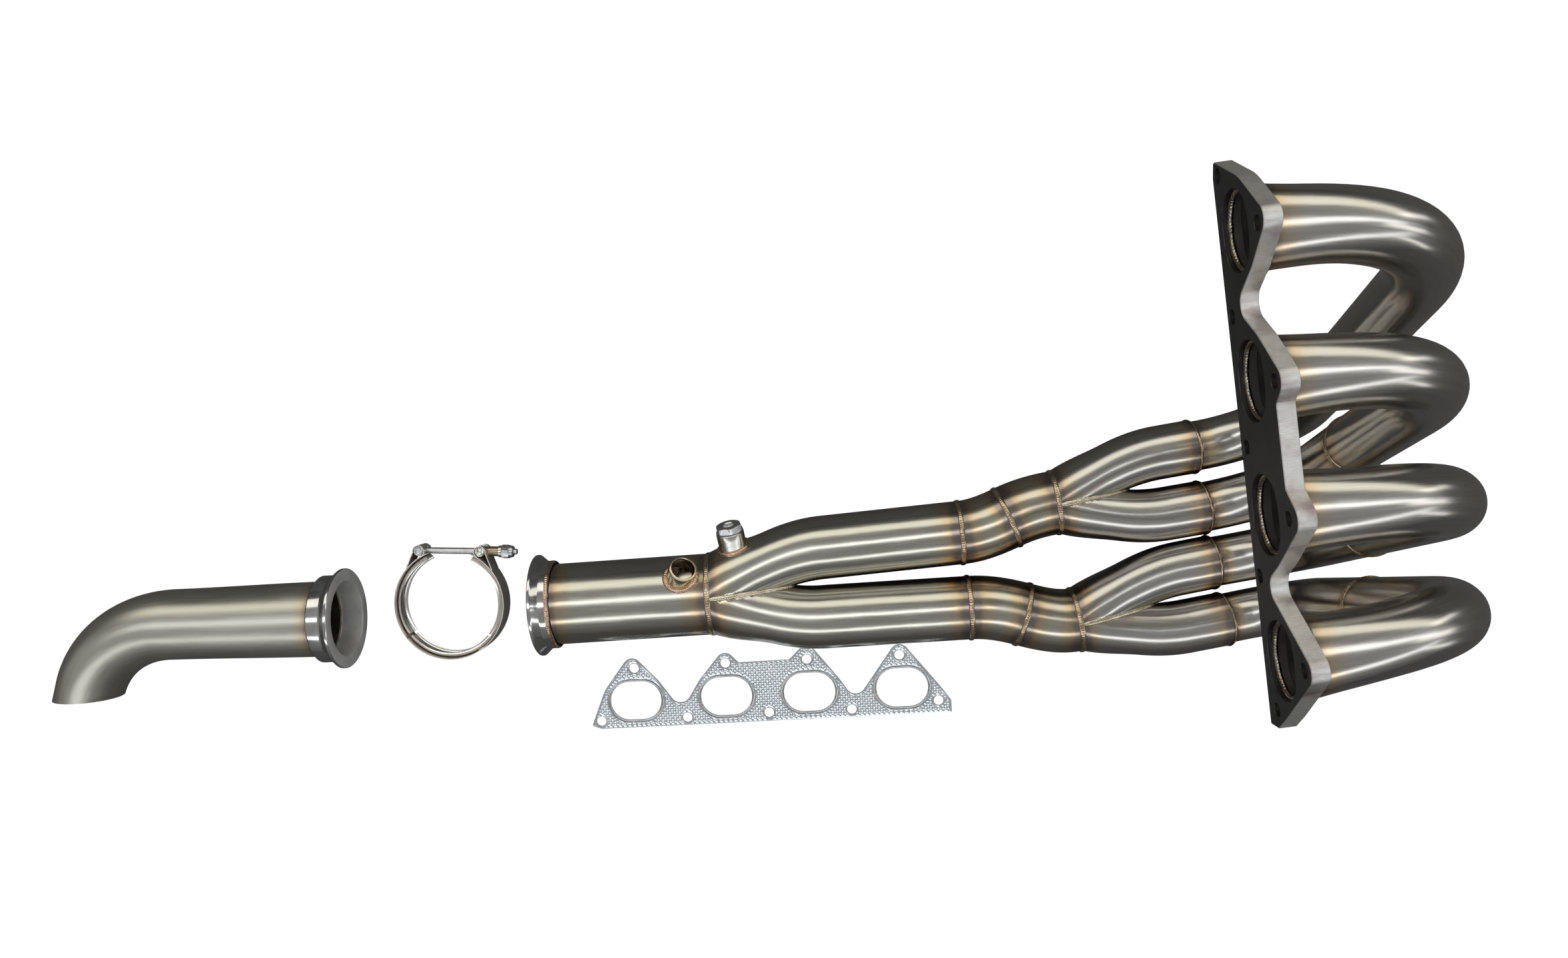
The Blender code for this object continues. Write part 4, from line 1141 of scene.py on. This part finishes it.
def make_bungs():
    make_bung("sensor_bung", SENSOR_BUNG, SENSOR_BUNG_TILT, "look_collector_tube", "bung", 80)
    make_bung("spare_bung", SPARE_BUNG, SPARE_BUNG_TILT, "look_secondary_12_tube", "spare", 81)
    seat = SPARE_BUNG[1] + BUNG_HEIGHT + GAP
    head_r, head = PLUG_HEAD
    stem_r = BUNG_BORE_R - GAP - 0.4 * MM
    foot, axis = Vector(SPARE_BUNG[0]), bung_axis(SPARE_BUNG_TILT)
    stations = [
        (seat - 10 * MM, stem_r - MM, False), (seat - 9 * MM, stem_r, False), (seat, stem_r, False),
        (seat, head_r - 0.2 * MM, False), (seat + 0.7 * MM, head_r, False),
        (seat + 0.75 * MM, head_r, True), (seat + head - 1.0 * MM, head_r, True),
        (seat + head - 0.3 * MM, head_r - 0.9 * MM, True), (seat + head, head_r - 1.6 * MM, True),
        (seat + head, 5.6 * MM, False), (seat + head - 0.8 * MM, 4.8 * MM, False),
        (seat + head - 3.2 * MM, 4.6 * MM, False),
    ]
    hexagonal(
        "look_spare_bung_plug", stations, head_r * 0.885, foot, axis, "header",
        ("spare_bung_plug",),
    )


def hexagonal(name, stations, flat_r, foot, axis, body, replaces, place=None, closed=False):
    """A turned piece whose marked stations are cut to a hexagon, as a nut's or a plug's are.
    Each station is (along, radius, whether it is cut)."""
    side, up = square_to(axis)
    sides, third = LATHE_SIDES, math.pi / 3
    points = []
    for along, limit, hexed in stations:
        for j in range(sides):
            angle = 2 * math.pi * j / sides
            flat = flat_r / math.cos((angle + third / 2) % third - third / 2)
            radius = min(flat, limit) if hexed else limit
            out = side * math.cos(angle) + up * math.sin(angle)
            points.append(foot + axis * along + out * radius)
    rows = len(stations)
    faces = grid_faces(rows, sides, True) if closed else capped_faces(rows, sides)
    put(name, points, faces, body, "zinc", "zinc_fastener", replaces, place, sharp=26)


# ---------------------------------------------------------------- tip

def make_tip():
    """The tip in its own frame: x = 0 at its mating face, and the pipe runs towards -X."""
    lathe(
        "look_tip_vband_flange", vband_profile(TIP_HUB), Vector(), -X, "tip", "turned",
        "machined_stainless", ("tip_vband_flange",), place=TIP_FRAME,
    )
    start = -TIP_HUB - GAP
    reach = TIP_BEND_R * math.tan(TIP_TURN / 2)
    corner = Vector((-TIP_STRAIGHT - reach, 0, 0))
    down = Vector((-math.cos(TIP_TURN), -math.sin(TIP_TURN), 0))
    corners = [(X * start, 0), (corner, TIP_BEND_R), (corner + down * (reach + MM), 0)]
    line = round_corners(corners, math.radians(3))[:-1]
    straight_run, bend = filled_in(line[:2], STATION), line[2:]
    straight, middle, mouth = TIP_RADII
    radii = []
    for point in straight_run:
        part = smooth_step(min(1.0, max(0.0, (point.x - start) / (-TIP_STRAIGHT - start))))
        radii.append(straight + (middle - straight) * part)
    radii += [middle + (mouth - middle) * (i + 1) / len(bend) for i in range(len(bend))]
    rings = tube_rings(
        straight_run + bend, [(radius, radius) for radius in radii], Z, sides=WIDE_TUBE_SIDES,
    )
    for wall in rings:
        cut_to_mouth(wall, down, Vector((0, -math.cos(TIP_CLOCK), math.sin(TIP_CLOCK))))
    tube("look_tip_pipe", *rings, "tip", "tip", TIP_FRAME, far_end_welded=False)
    ring_weld(
        "look_weld_tip", X * (start + 0.3 * MM), X, straight + 1.2 * MM, 90, "tip", body="tip",
        place=TIP_FRAME,
    )


def cut_to_mouth(rings, down, upright):
    """The last rings run down to the upright cut, spread so that none cross."""
    last = len(rings) - 1
    for j in range(len(rings[0])):
        end = rings[last][j]
        end += down * (TIP_CUT - end.dot(upright)) / down.dot(upright)
        past = [k for k in range(len(rings)) if rings[k][j].dot(upright) > TIP_CUT - 0.8 * MM]
        first = min(past, default=last)
        base = rings[first - 1][j].copy()
        for k in range(first, last):
            rings[k][j][:] = base.lerp(end, (k - first + 1) / (last + 1 - first))


# ---------------------------------------------------------------- clamp

OPENING = math.pi / 2  # of the clamp's ring, in its own plane
BAND_MID, BAND_THICK = (BAND_R[0] + BAND_R[1]) / 2, BAND_R[1] - BAND_R[0]
BAND_END = math.radians(24)
TAIL_FROM, TAIL_FOOT = math.pi * 0.39, (BAND_MID + 0.7 * MM, math.radians(51))
LOOP_STEPS, TAIL_STEPS = 40, 12
RETAINER_LIP = [  # radius, height in mm: from the back out and in over the flanges
    (45.9, 7.75), (47.6, 7.3), (49.1, 6.2), (50.0, 4.6), (50.15, 2.6), (50.15, 0.9),
]
RETAINER_HALF = 0.6  # of the sheet's thickness, in mm


def around(radius, angle):
    return Vector((radius * math.cos(angle), radius * math.sin(angle), 0))


def arc(radius, start, end, steps):
    return [around(radius, start + (end - start) * i / steps) for i in range(steps + 1)]


def arc_piece(name, profile, start, end, body, finish, replaces):
    """A (radius, height) section swept about Z between two angles, with closed ends."""
    steps = max(2, math.ceil(abs(end - start) / math.radians(2.5)))
    points = []
    for i in range(steps + 1):
        angle = start + (end - start) * i / steps
        points += [around(radius, angle) + Z * height for radius, height in profile]
    put(
        name, points, capped_faces(steps + 1, len(profile)), body, finish, "polished_stainless",
        replaces, CLAMP_FRAME, sharp=40,
    )


def retainer_profile():
    """A rolled channel: its back touches the strap and its lips curl in over the flanges."""
    line = [Vector(point) for point in RETAINER_LIP]
    line += [Vector((radius, -height)) for radius, height in RETAINER_LIP[::-1]]
    line = rounded_through(line, 3)
    outer, inner = [], []
    for i, point in enumerate(line):
        before, after = line[max(0, i - 1)], line[min(len(line) - 1, i + 1)]
        run = (after - before).normalized()
        side = Vector((-run.y, run.x))
        outer.append(point + side * RETAINER_HALF)
        inner.append(point - side * RETAINER_HALF)
    return [(p.x * MM, p.y * MM) for p in outer + inner[::-1]]


def rounded_through(line, parts):
    """A smooth curve through the points of a line, with each stretch cut into parts."""
    fine = []
    count = len(line)
    for i in range(count - 1):
        p0, p1, p2, p3 = line[max(0, i - 1)], line[i], line[i + 1], line[min(count - 1, i + 2)]
        for j in range(parts):
            t = j / parts
            fine.append(
                0.5 * (2 * p1 + (p2 - p0) * t + (2 * p0 - 5 * p1 + 4 * p2 - p3) * t**2
                       + (3 * p1 - p0 - 3 * p2 + p3) * t**3)
            )
    fine.append(line[-1].copy())
    return fine


def bent_strip(line, half_width, opening=None):
    """A strip of the strap's sheet along a line in the clamp's plane. opening says, for each
    point of the line, how far the slot for the bolt reaches either side of the middle."""
    count = len(line)
    opening = opening or [0.0] * count
    points, faces, rows = [], [], []
    for i, point in enumerate(line):
        before, after = line[max(0, i - 1)], line[min(count - 1, i + 1)]
        run = (after - before).normalized()
        rows.append(range(len(points), len(points) + 8))
        for face in (1, -1):
            offset = Vector((run.y, -run.x, 0)) * BAND_THICK / 2 * face
            for height in (half_width, opening[i], -opening[i], -half_width):
                points.append(point + offset + Z * height)
    whole = (0, 1, 2, 3, 7, 6, 5, 4, 0)
    bars = ((0, 1, 5, 4, 0), (2, 3, 7, 6, 2))
    for i in range(count - 1):
        a, b = rows[i], rows[i + 1]
        for edge in bars if opening[i] or opening[i + 1] else (whole,):
            faces += [(a[p], a[q], b[q], b[p]) for p, q in zip(edge, edge[1:])]
    for row in (rows[0], rows[-1]):
        faces += [(row[p], row[p + 1], row[p + 5], row[p + 4]) for p in range(3)]
    return points, faces


def strap_piece(name, strip, body, replaces=()):
    return put(
        name, *strip, body, "strap", "polished_stainless", replaces,
        CLAMP_FRAME if body else None, sharp=40,
    )


def loop_line(sign):
    """The strap's turned-back end: a loop about the cross bar, then a tail to the strap."""
    centre = around(LOOP_CENTRE_R, OPENING + sign * LOOP_ANGLE)
    base = math.atan2(centre.y, centre.x)
    ends = base - sign * math.pi, base + sign * TAIL_FROM
    line = [centre + point for point in arc((LOOP_R[0] + LOOP_R[1]) / 2, *ends, LOOP_STEPS)]
    foot = around(TAIL_FOOT[0], OPENING + sign * TAIL_FOOT[1])
    last = line[-1]
    return line + [last.lerp(foot, i / TAIL_STEPS) for i in range(1, TAIL_STEPS + 1)], centre


def make_clamp_half(name, sign):
    body = f"clamp_{name}_half"
    last = OPENING + sign * (HINGE_ANGLE - HINGE_GAP)
    arc_piece(
        f"look_clamp_retainer_{name}", retainer_profile(), OPENING + sign * RETAINER_END, last,
        body, "strip", (f"clamp_retainer_{name}",),
    )
    line = arc(BAND_MID, last, OPENING + sign * BAND_END, 44)
    strap_piece(
        f"look_clamp_band_{name}", bent_strip(line, BAND_HALF), body, (f"clamp_band_{name}",),
    )
    line, centre = loop_line(sign)
    half_slot = (BOLT_R if name == "left" else SLEEVE_R) + 1.0 * MM
    opening = []
    for i, point in enumerate(line):
        out = point - centre
        slotted = i <= LOOP_STEPS and (name == "right" or out.x > 0) and abs(out.y) < half_slot
        opening.append(half_slot if slotted else 0.0)
    strap_piece(f"look_clamp_loop_{name}", bent_strip(line, BAND_HALF - MM, opening), body)
    for k, degrees in enumerate((58, 66)):
        for height in (-5, 5):
            spot_weld(f"look_clamp_spot_{name}_{k}_{height + 5}", sign, degrees, height * MM, body)


def spot_weld(name, sign, degrees, height, body):
    """A shallow round dimple where the strap is spot-welded to its retainer."""
    angle = OPENING + sign * math.radians(degrees)
    profile = [mm(0.0, 0.2), mm(0.28, 0.2), mm(0.22, 1.2), mm(0.0, 1.9)]
    lathe(
        name, profile, around(BAND_R[1] - 0.05 * MM, angle) + Z * height, around(1, angle), body,
        "strap", "polished_stainless", sides=24, closed=False, place=CLAMP_FRAME,
    )


def make_clamp():
    gone = HINGE_ANGLE + HINGE_GAP
    strap = [
        (BAND_R[0], -BAND_HALF), (BAND_R[1], -BAND_HALF), (BAND_R[1], BAND_HALF), (BAND_R[0], BAND_HALF),
    ]
    for name, profile, finish in (("retainer", retainer_profile(), "strip"), ("band", strap, "strap")):
        arc_piece(
            f"look_clamp_{name}_bottom", profile, OPENING + gone, OPENING + 2 * math.pi - gone,
            "clamp_base", finish, (f"clamp_{name}_bottom",),
        )
    for name, sign in (("left", 1), ("right", -1)):
        make_clamp_half(name, sign)
        make_clamp_hinge(name, sign)
    make_clamp_bolt()


def make_clamp_hinge(name, sign):
    """The strap runs on between the retainers, where the real strap bends as the clamp closes; here it
    is a fixed arc that rides no body.
    """
    hinge = OPENING + sign * HINGE_ANGLE
    line = arc(BAND_MID, hinge - sign * HINGE_GAP, hinge + sign * HINGE_GAP, 8)
    points, faces = bent_strip(line, BAND_HALF)
    placed = [CLAMP_FRAME @ point for point in points]
    piece = strap_piece(f"look_clamp_hinge_{name}", (placed, faces), None)
    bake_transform(piece)


def make_clamp_bolt():
    left = around(LOOP_CENTRE_R, OPENING + LOOP_ANGLE)
    right = around(LOOP_CENTRE_R, OPENING - LOOP_ANGLE)
    bar = [  # a cross bar with one end turned down and dished
        (-BARREL_HALF, 0.4 * MM), (-BARREL_HALF, BARREL_R - 0.8 * MM),
        (-BARREL_HALF + 0.8 * MM, BARREL_R), (BARREL_HALF - 0.6 * MM, BARREL_R),
        (BARREL_HALF - 0.1 * MM, BARREL_R - 0.25 * MM), (BARREL_HALF, BARREL_R - 0.7 * MM),
        (BARREL_HALF - 0.3 * MM, BARREL_R - 1.15 * MM),
        (BARREL_HALF - 2.2 * MM, BARREL_R - 1.4 * MM), (BARREL_HALF - 3.6 * MM, 1.6 * MM),
        (BARREL_HALF - 4.0 * MM, 0.4 * MM),
    ]
    common = {"closed": False, "sides": BAR_SIDES, "place": CLAMP_FRAME}
    lathe("look_clamp_t_bar", bar, left, Z, "t_bolt", "zinc", "zinc_fastener",
          ("clamp_t_bolt",), **common)
    lathe("look_clamp_trunnion_bar", bar, right, Z, "trunnion", "strip", "polished_stainless",
          ("clamp_trunnion",), **common)
    span = (right - left).length
    plain_end, total = span * 0.93, span + BOLT_END
    side, up = square_to(X)
    plain = [(2 * MM, BOLT_R), (plain_end - MM, BOLT_R)]
    dome = [
        (total - 0.6 * MM, 2.75 * MM), (total - 0.35 * MM, 2.5 * MM), (total - 0.12 * MM, 2.0 * MM),
        (total, 1.2 * MM),
    ]
    shank, end = (
        [section(left + X * along, side, up, radius, radius, BAR_SIDES) for along, radius in run]
        for run in (plain, dome)
    )
    threads = thread_rings(
        BOLT_R - 0.22 * MM, 0.24 * MM, 1.0 * MM, plain_end, total - 0.8 * MM, left, X,
    )
    rings = shank + threads + end
    put("look_clamp_bolt_shank", flattened(rings), capped_faces(len(rings), BAR_SIDES), "t_bolt",
        "zinc", "zinc_fastener", (), CLAMP_FRAME, sharp=40)
    wide = SLEEVE_R + SLEEVE_SKIN
    sleeve = [
        (1.0 * MM, BOLT_BORE_R), (1.0 * MM, SLEEVE_R), (5.4 * MM, SLEEVE_R), (6.2 * MM, wide),
        (SLEEVE_END - 0.5 * MM, wide), (SLEEVE_END, SLEEVE_R), (SLEEVE_END, BOLT_BORE_R),
    ]
    lathe("look_clamp_sleeve", sleeve, right, X, "trunnion", "sleeve", "polished_stainless",
          sides=SLEEVE_SIDES, place=CLAMP_FRAME)
    start = SLEEVE_END + GAP
    end = start + WASHER_THICK
    washer = [(start, BOLT_BORE_R), (start, WASHER_R), (end, WASHER_R), (end, BOLT_BORE_R)]
    lathe("look_clamp_washer", eased(washer, 0.3 * MM), right, X, "washer", "strip",
          "zinc_fastener", ("clamp_washer",), sides=SLEEVE_SIDES, place=CLAMP_FRAME)
    make_nut(right, X, end + GAP)


def make_nut(foot, axis, start):
    """A lock nut: a hexagon with its corners turned away, and a domed collar at the end."""
    hex_end, end = start + NUT_LENGTH - 4.0 * MM, start + NUT_LENGTH
    corner, bore = NUT_FLAT_R / math.cos(math.pi / 6), BOLT_BORE_R + 0.2 * MM
    collar = [  # along, radius
        (hex_end + 0.1 * MM, NUT_FLAT_R - 0.7 * MM), (hex_end + 0.8 * MM, NUT_FLAT_R - 0.7 * MM),
        (hex_end + 0.9 * MM, NUT_FLAT_R - 0.3 * MM), (end - 1.8 * MM, NUT_FLAT_R - 0.4 * MM),
        (end - 0.7 * MM, NUT_FLAT_R - 0.9 * MM), (end - 0.15 * MM, NUT_FLAT_R - 1.7 * MM),
        (end, bore + 0.3 * MM), (end - 0.6 * MM, bore),
    ]
    stations = [
        (start, bore, False), (start, corner - 0.8 * MM, True), (start + 0.5 * MM, corner, True),
        (hex_end - 0.6 * MM, corner, True), (hex_end, corner - 0.9 * MM, True),
        *((along, radius, False) for along, radius in collar),
    ]
    hexagonal(
        "look_clamp_nut", stations, NUT_FLAT_R, foot, axis, "nut", ("clamp_nut",), CLAMP_FRAME,
        True,
    )


# ---------------------------------------------------------------- gasket

BUMP_PITCH = 4.6 * MM
BUMP_RISE = 0.6 * MM
BUMP_R = 1.7 * MM
FLAT_BORDER = 1.6 * MM
SHEET_STEP = BUMP_PITCH / 6
SHEET_MARGIN = 0.35 * MM  # from the sheet's edges to its nearest inner point


def bump_rise(u, v):
    """Height of the sheet's round bumps, in a diamond grid, at points."""
    row = BUMP_PITCH / 2
    nearest = np.full(u.shape, 1.0)
    for dj in (-1, 0, 1):
        j = np.round(v / row) + dj
        x = (u - np.where(j % 2 == 1, BUMP_PITCH / 2, 0.0)) / BUMP_PITCH
        du = (x - np.round(x)) * BUMP_PITCH
        nearest = np.minimum(nearest, np.hypot(du, v - j * row) / BUMP_R)
    return np.where(nearest < 1, BUMP_RISE * (0.5 + 0.5 * np.cos(math.pi * nearest)), 0.0)


def make_gasket():
    """The sheet, bumped on top and flat underneath and round its edges, and its fire rings."""
    opening = tuple(half + GAP for half in FIRE_RING_HALF)
    loops = pattern_loops(opening)
    low, high = GASKET_Z
    flat_points = [Vector((p.x, p.y)) for p in flattened(loops)]
    rim, edges = len(flat_points), loop_edges(loops)
    limits = []
    for values in ([p.x for p in loops[0]], [p.y for p in loops[0]]):
        low_step, high_step = min(values) / SHEET_STEP, max(values) / SHEET_STEP
        limits.append(np.arange(math.floor(low_step), math.ceil(high_step) + 1))
    grid = np.stack(np.meshgrid(*limits), axis=-1).reshape(-1, 2) * SHEET_STEP
    keep, edge = side_and_distance(grid, loops[0])
    for loop in loops[1:]:
        inner, distance = side_and_distance(grid, loop)
        keep &= ~inner
        edge = np.minimum(edge, distance)
    keep &= edge > SHEET_MARGIN
    flat_points += [Vector(point) for point in grid[keep].tolist()]
    flat, triangles = sheet_triangles(flat_points, edges, loops)
    count = len(flat)
    border = np.ones(count)
    border[rim:] = np.clip(1.5 - edge[keep] / FLAT_BORDER, 0, 1)
    top = high - BUMP_RISE + np.maximum(bump_rise(*flat.T), border * BUMP_RISE * 0.8)
    points = [(x, y, z) for (x, y), z in zip(flat, top)] + [(x, y, low) for x, y in flat]
    faces = []
    for triangle in triangles:
        faces += [triangle, tuple(i + count for i in triangle[::-1])]
    faces += [(a, b, b + count, a + count) for a, b in edges]
    put("look_gasket_sheet", points, faces, "gasket", "gasket", "gasket_sheet",
        ("gasket_sheet",), GASKET_FRAME, sharp=50)
    for i in range(len(PORT_U)):
        make_fire_ring(i)


def make_fire_ring(i):
    """Folded sheet round a port, with rounded edges and a shallow crease."""
    middle = [(a + b) / 2 for a, b in zip(PORT_HALF, FIRE_RING_HALF)]
    half_wide = (FIRE_RING_HALF[0] - PORT_HALF[0]) / 2
    half_thick = FIRE_RING_THICK / 2
    rings, count = [], 16
    for k in range(count):
        angle = 2 * math.pi * k / count
        out, rise = (math.copysign(abs(t) ** 0.7, t) for t in (math.cos(angle), math.sin(angle)))
        half = [a + half_wide * out for a in middle]
        loop = stadium((PORT_U[i], PORT_V), half, 24)
        rings.append([Vector((p.x, p.y, half_thick * (1 + rise))) for p in loop])
    points = flattened(rings)
    put(f"look_gasket_fire_ring_{i + 1}", points, grid_faces(count, len(rings[0]), True),
        "gasket", "fire", "fire_ring", (f"gasket_fire_ring_{i + 1}",), GASKET_FRAME, sharp=60,
        lay=[tuple(p) for p in points], weld=[1.0] * len(points))


# ---------------------------------------------------------------- stage, lights and camera

FLOOR_HALF, FLOOR_GREY, FLOOR_WHITE = 6.0, 0.11, 1.05
LIGHT_AXIS = (2.5, AXIS_Y, AXIS_Z)
LIGHT_DISTANCE = 2.4
LIGHTS = [  # name, lean from straight up towards +Y in degrees, (length, width), radiance, colour
    ("strip_broad", 55, (11.0, 1.0), 1.2, (1.0, 0.98, 0.86)),
    ("strip_top", 8, (11.0, 0.42), 2.2, (0.95, 0.98, 1.0)),
    ("strip_far", -44, (11.0, 0.36), 2.3, (0.95, 0.98, 1.0)),
]
END_TARGET = (0.5, 0, 0.2)
END_LIGHTS = [  # name, place, (width, height), radiance: windows beyond the flange's end
    ("end_near", (3.2, 0.9, 0.5), (0.25, 1.1), 1.6),
    ("end_middle", (3.4, -0.2, 1.2), (0.4, 1.4), 1.6),
    ("end_far", (3.2, -1.3, 0.6), (0.25, 1.1), 1.6),
]
SKY = [  # lean from straight up, brightness of the room in that direction
    (-180, 0.10), (-85, 0.12), (-65, 0.19), (-30, 0.28), (27, 0.30), (68, 0.10), (95, 0.05),
    (180, 0.04),
]
CAMERA_PLACE = (0.180, 0.0725, 1.0982)
CAMERA_TURN = (-3.46020528, 3.17798474, -4.29601616)  # degrees


def make_stage():
    mesh = bpy.data.meshes.new("floor")
    corners = [(x * FLOOR_HALF, y * FLOOR_HALF, 0) for x, y in ((-1, -1), (1, -1), (1, 1), (-1, 1))]
    mesh.from_pydata(corners, [], [(0, 1, 2, 3)])
    floor = bpy.data.objects.new("floor", mesh)
    bpy.context.collection.objects.link(floor)
    n = Nodes("look_floor")
    n.shader.inputs["Metallic"].default_value = 0.0
    n.shader.inputs["Base Color"].default_value = (FLOOR_GREY, FLOOR_GREY, FLOOR_GREY, 1)
    n.shader.inputs["Roughness"].default_value = 0.9
    n.shader.inputs["Specular IOR Level"].default_value = 0.1
    white = n.node("ShaderNodeEmission")
    white.inputs["Strength"].default_value = FLOOR_WHITE
    mix = n.node("ShaderNodeMixShader")
    n.link(n.node("ShaderNodeLightPath").outputs["Is Camera Ray"], mix.inputs[0])
    n.link(n.shader.outputs[0], mix.inputs[1])
    n.link(white.outputs[0], mix.inputs[2])
    n.link(mix.outputs[0], n.tree.nodes["Material Output"].inputs["Surface"])
    mesh.materials.append(n.material)


def area_light(name, location, target, size, radiance, colour=(1, 1, 1)):
    light = bpy.data.lights.new(name, "AREA")
    light.shape = "RECTANGLE"
    light.size, light.size_y = size
    light.energy = radiance * math.pi * size[0] * size[1]
    light.color = colour
    made = bpy.data.objects.new(name, light)
    made.location = location
    direction = Vector(target) - Vector(location)
    made.rotation_euler = direction.to_track_quat("-Z", "Y").to_euler()
    bpy.context.collection.objects.link(made)


def make_world():
    """A dim room, brightest overhead, that darkens towards its walls."""
    world = bpy.data.worlds.new("studio")
    bpy.context.scene.world = world
    world.use_nodes = True
    tree = world.node_tree
    background = tree.nodes["Background"]
    background.inputs["Strength"].default_value = 1.0
    direction, split, angle, place, ramp = (
        tree.nodes.new(f"ShaderNode{kind}")
        for kind in ("TexCoord", "SeparateXYZ", "Math", "Math", "ValToRGB")
    )
    angle.operation, place.operation = "ARCTAN2", "MULTIPLY_ADD"
    place.inputs[1].default_value, place.inputs[2].default_value = 0.5 / math.pi, 0.5
    while len(ramp.color_ramp.elements) < len(SKY):
        ramp.color_ramp.elements.new(0.5)
    for element, (degrees, grey) in zip(ramp.color_ramp.elements, SKY):
        element.position = degrees / 360 + 0.5
        element.color = (grey, grey, grey, 1)
    for source, target in (
        (direction.outputs["Generated"], split.inputs[0]),
        (split.outputs["Y"], angle.inputs[0]), (split.outputs["Z"], angle.inputs[1]),
        (angle.outputs[0], place.inputs[0]), (place.outputs[0], ramp.inputs[0]),
        (ramp.outputs["Color"], background.inputs["Color"]),
    ):
        tree.links.new(source, target)


def make_lights():
    for name, place, size, radiance in END_LIGHTS:
        area_light(name, place, END_TARGET, size, radiance)
    for name, degrees, size, radiance, colour in LIGHTS:
        lean = math.radians(degrees)
        x, y, z = LIGHT_AXIS
        place = (x, y + LIGHT_DISTANCE * math.sin(lean), z + LIGHT_DISTANCE * math.cos(lean))
        area_light(name, place, LIGHT_AXIS, size, radiance, colour)


def make_camera():
    data = bpy.data.cameras.new("camera")
    data.lens = 27.1
    data.sensor_width = 36.0
    data.shift_y = 0.00667
    camera = bpy.data.objects.new("camera", data)
    camera.location = CAMERA_PLACE
    camera.rotation_euler = [math.radians(degrees) for degrees in CAMERA_TURN]
    bpy.context.collection.objects.link(camera)
    bpy.context.scene.camera = camera
    bpy.context.scene.view_settings.view_transform = "Standard"


make_head_flange()
make_runners()
make_first_merges()
make_secondaries()
make_collector()
make_bungs()
make_tip()
make_clamp()
make_gasket()
make_stage()
make_world()
make_lights()
make_camera()
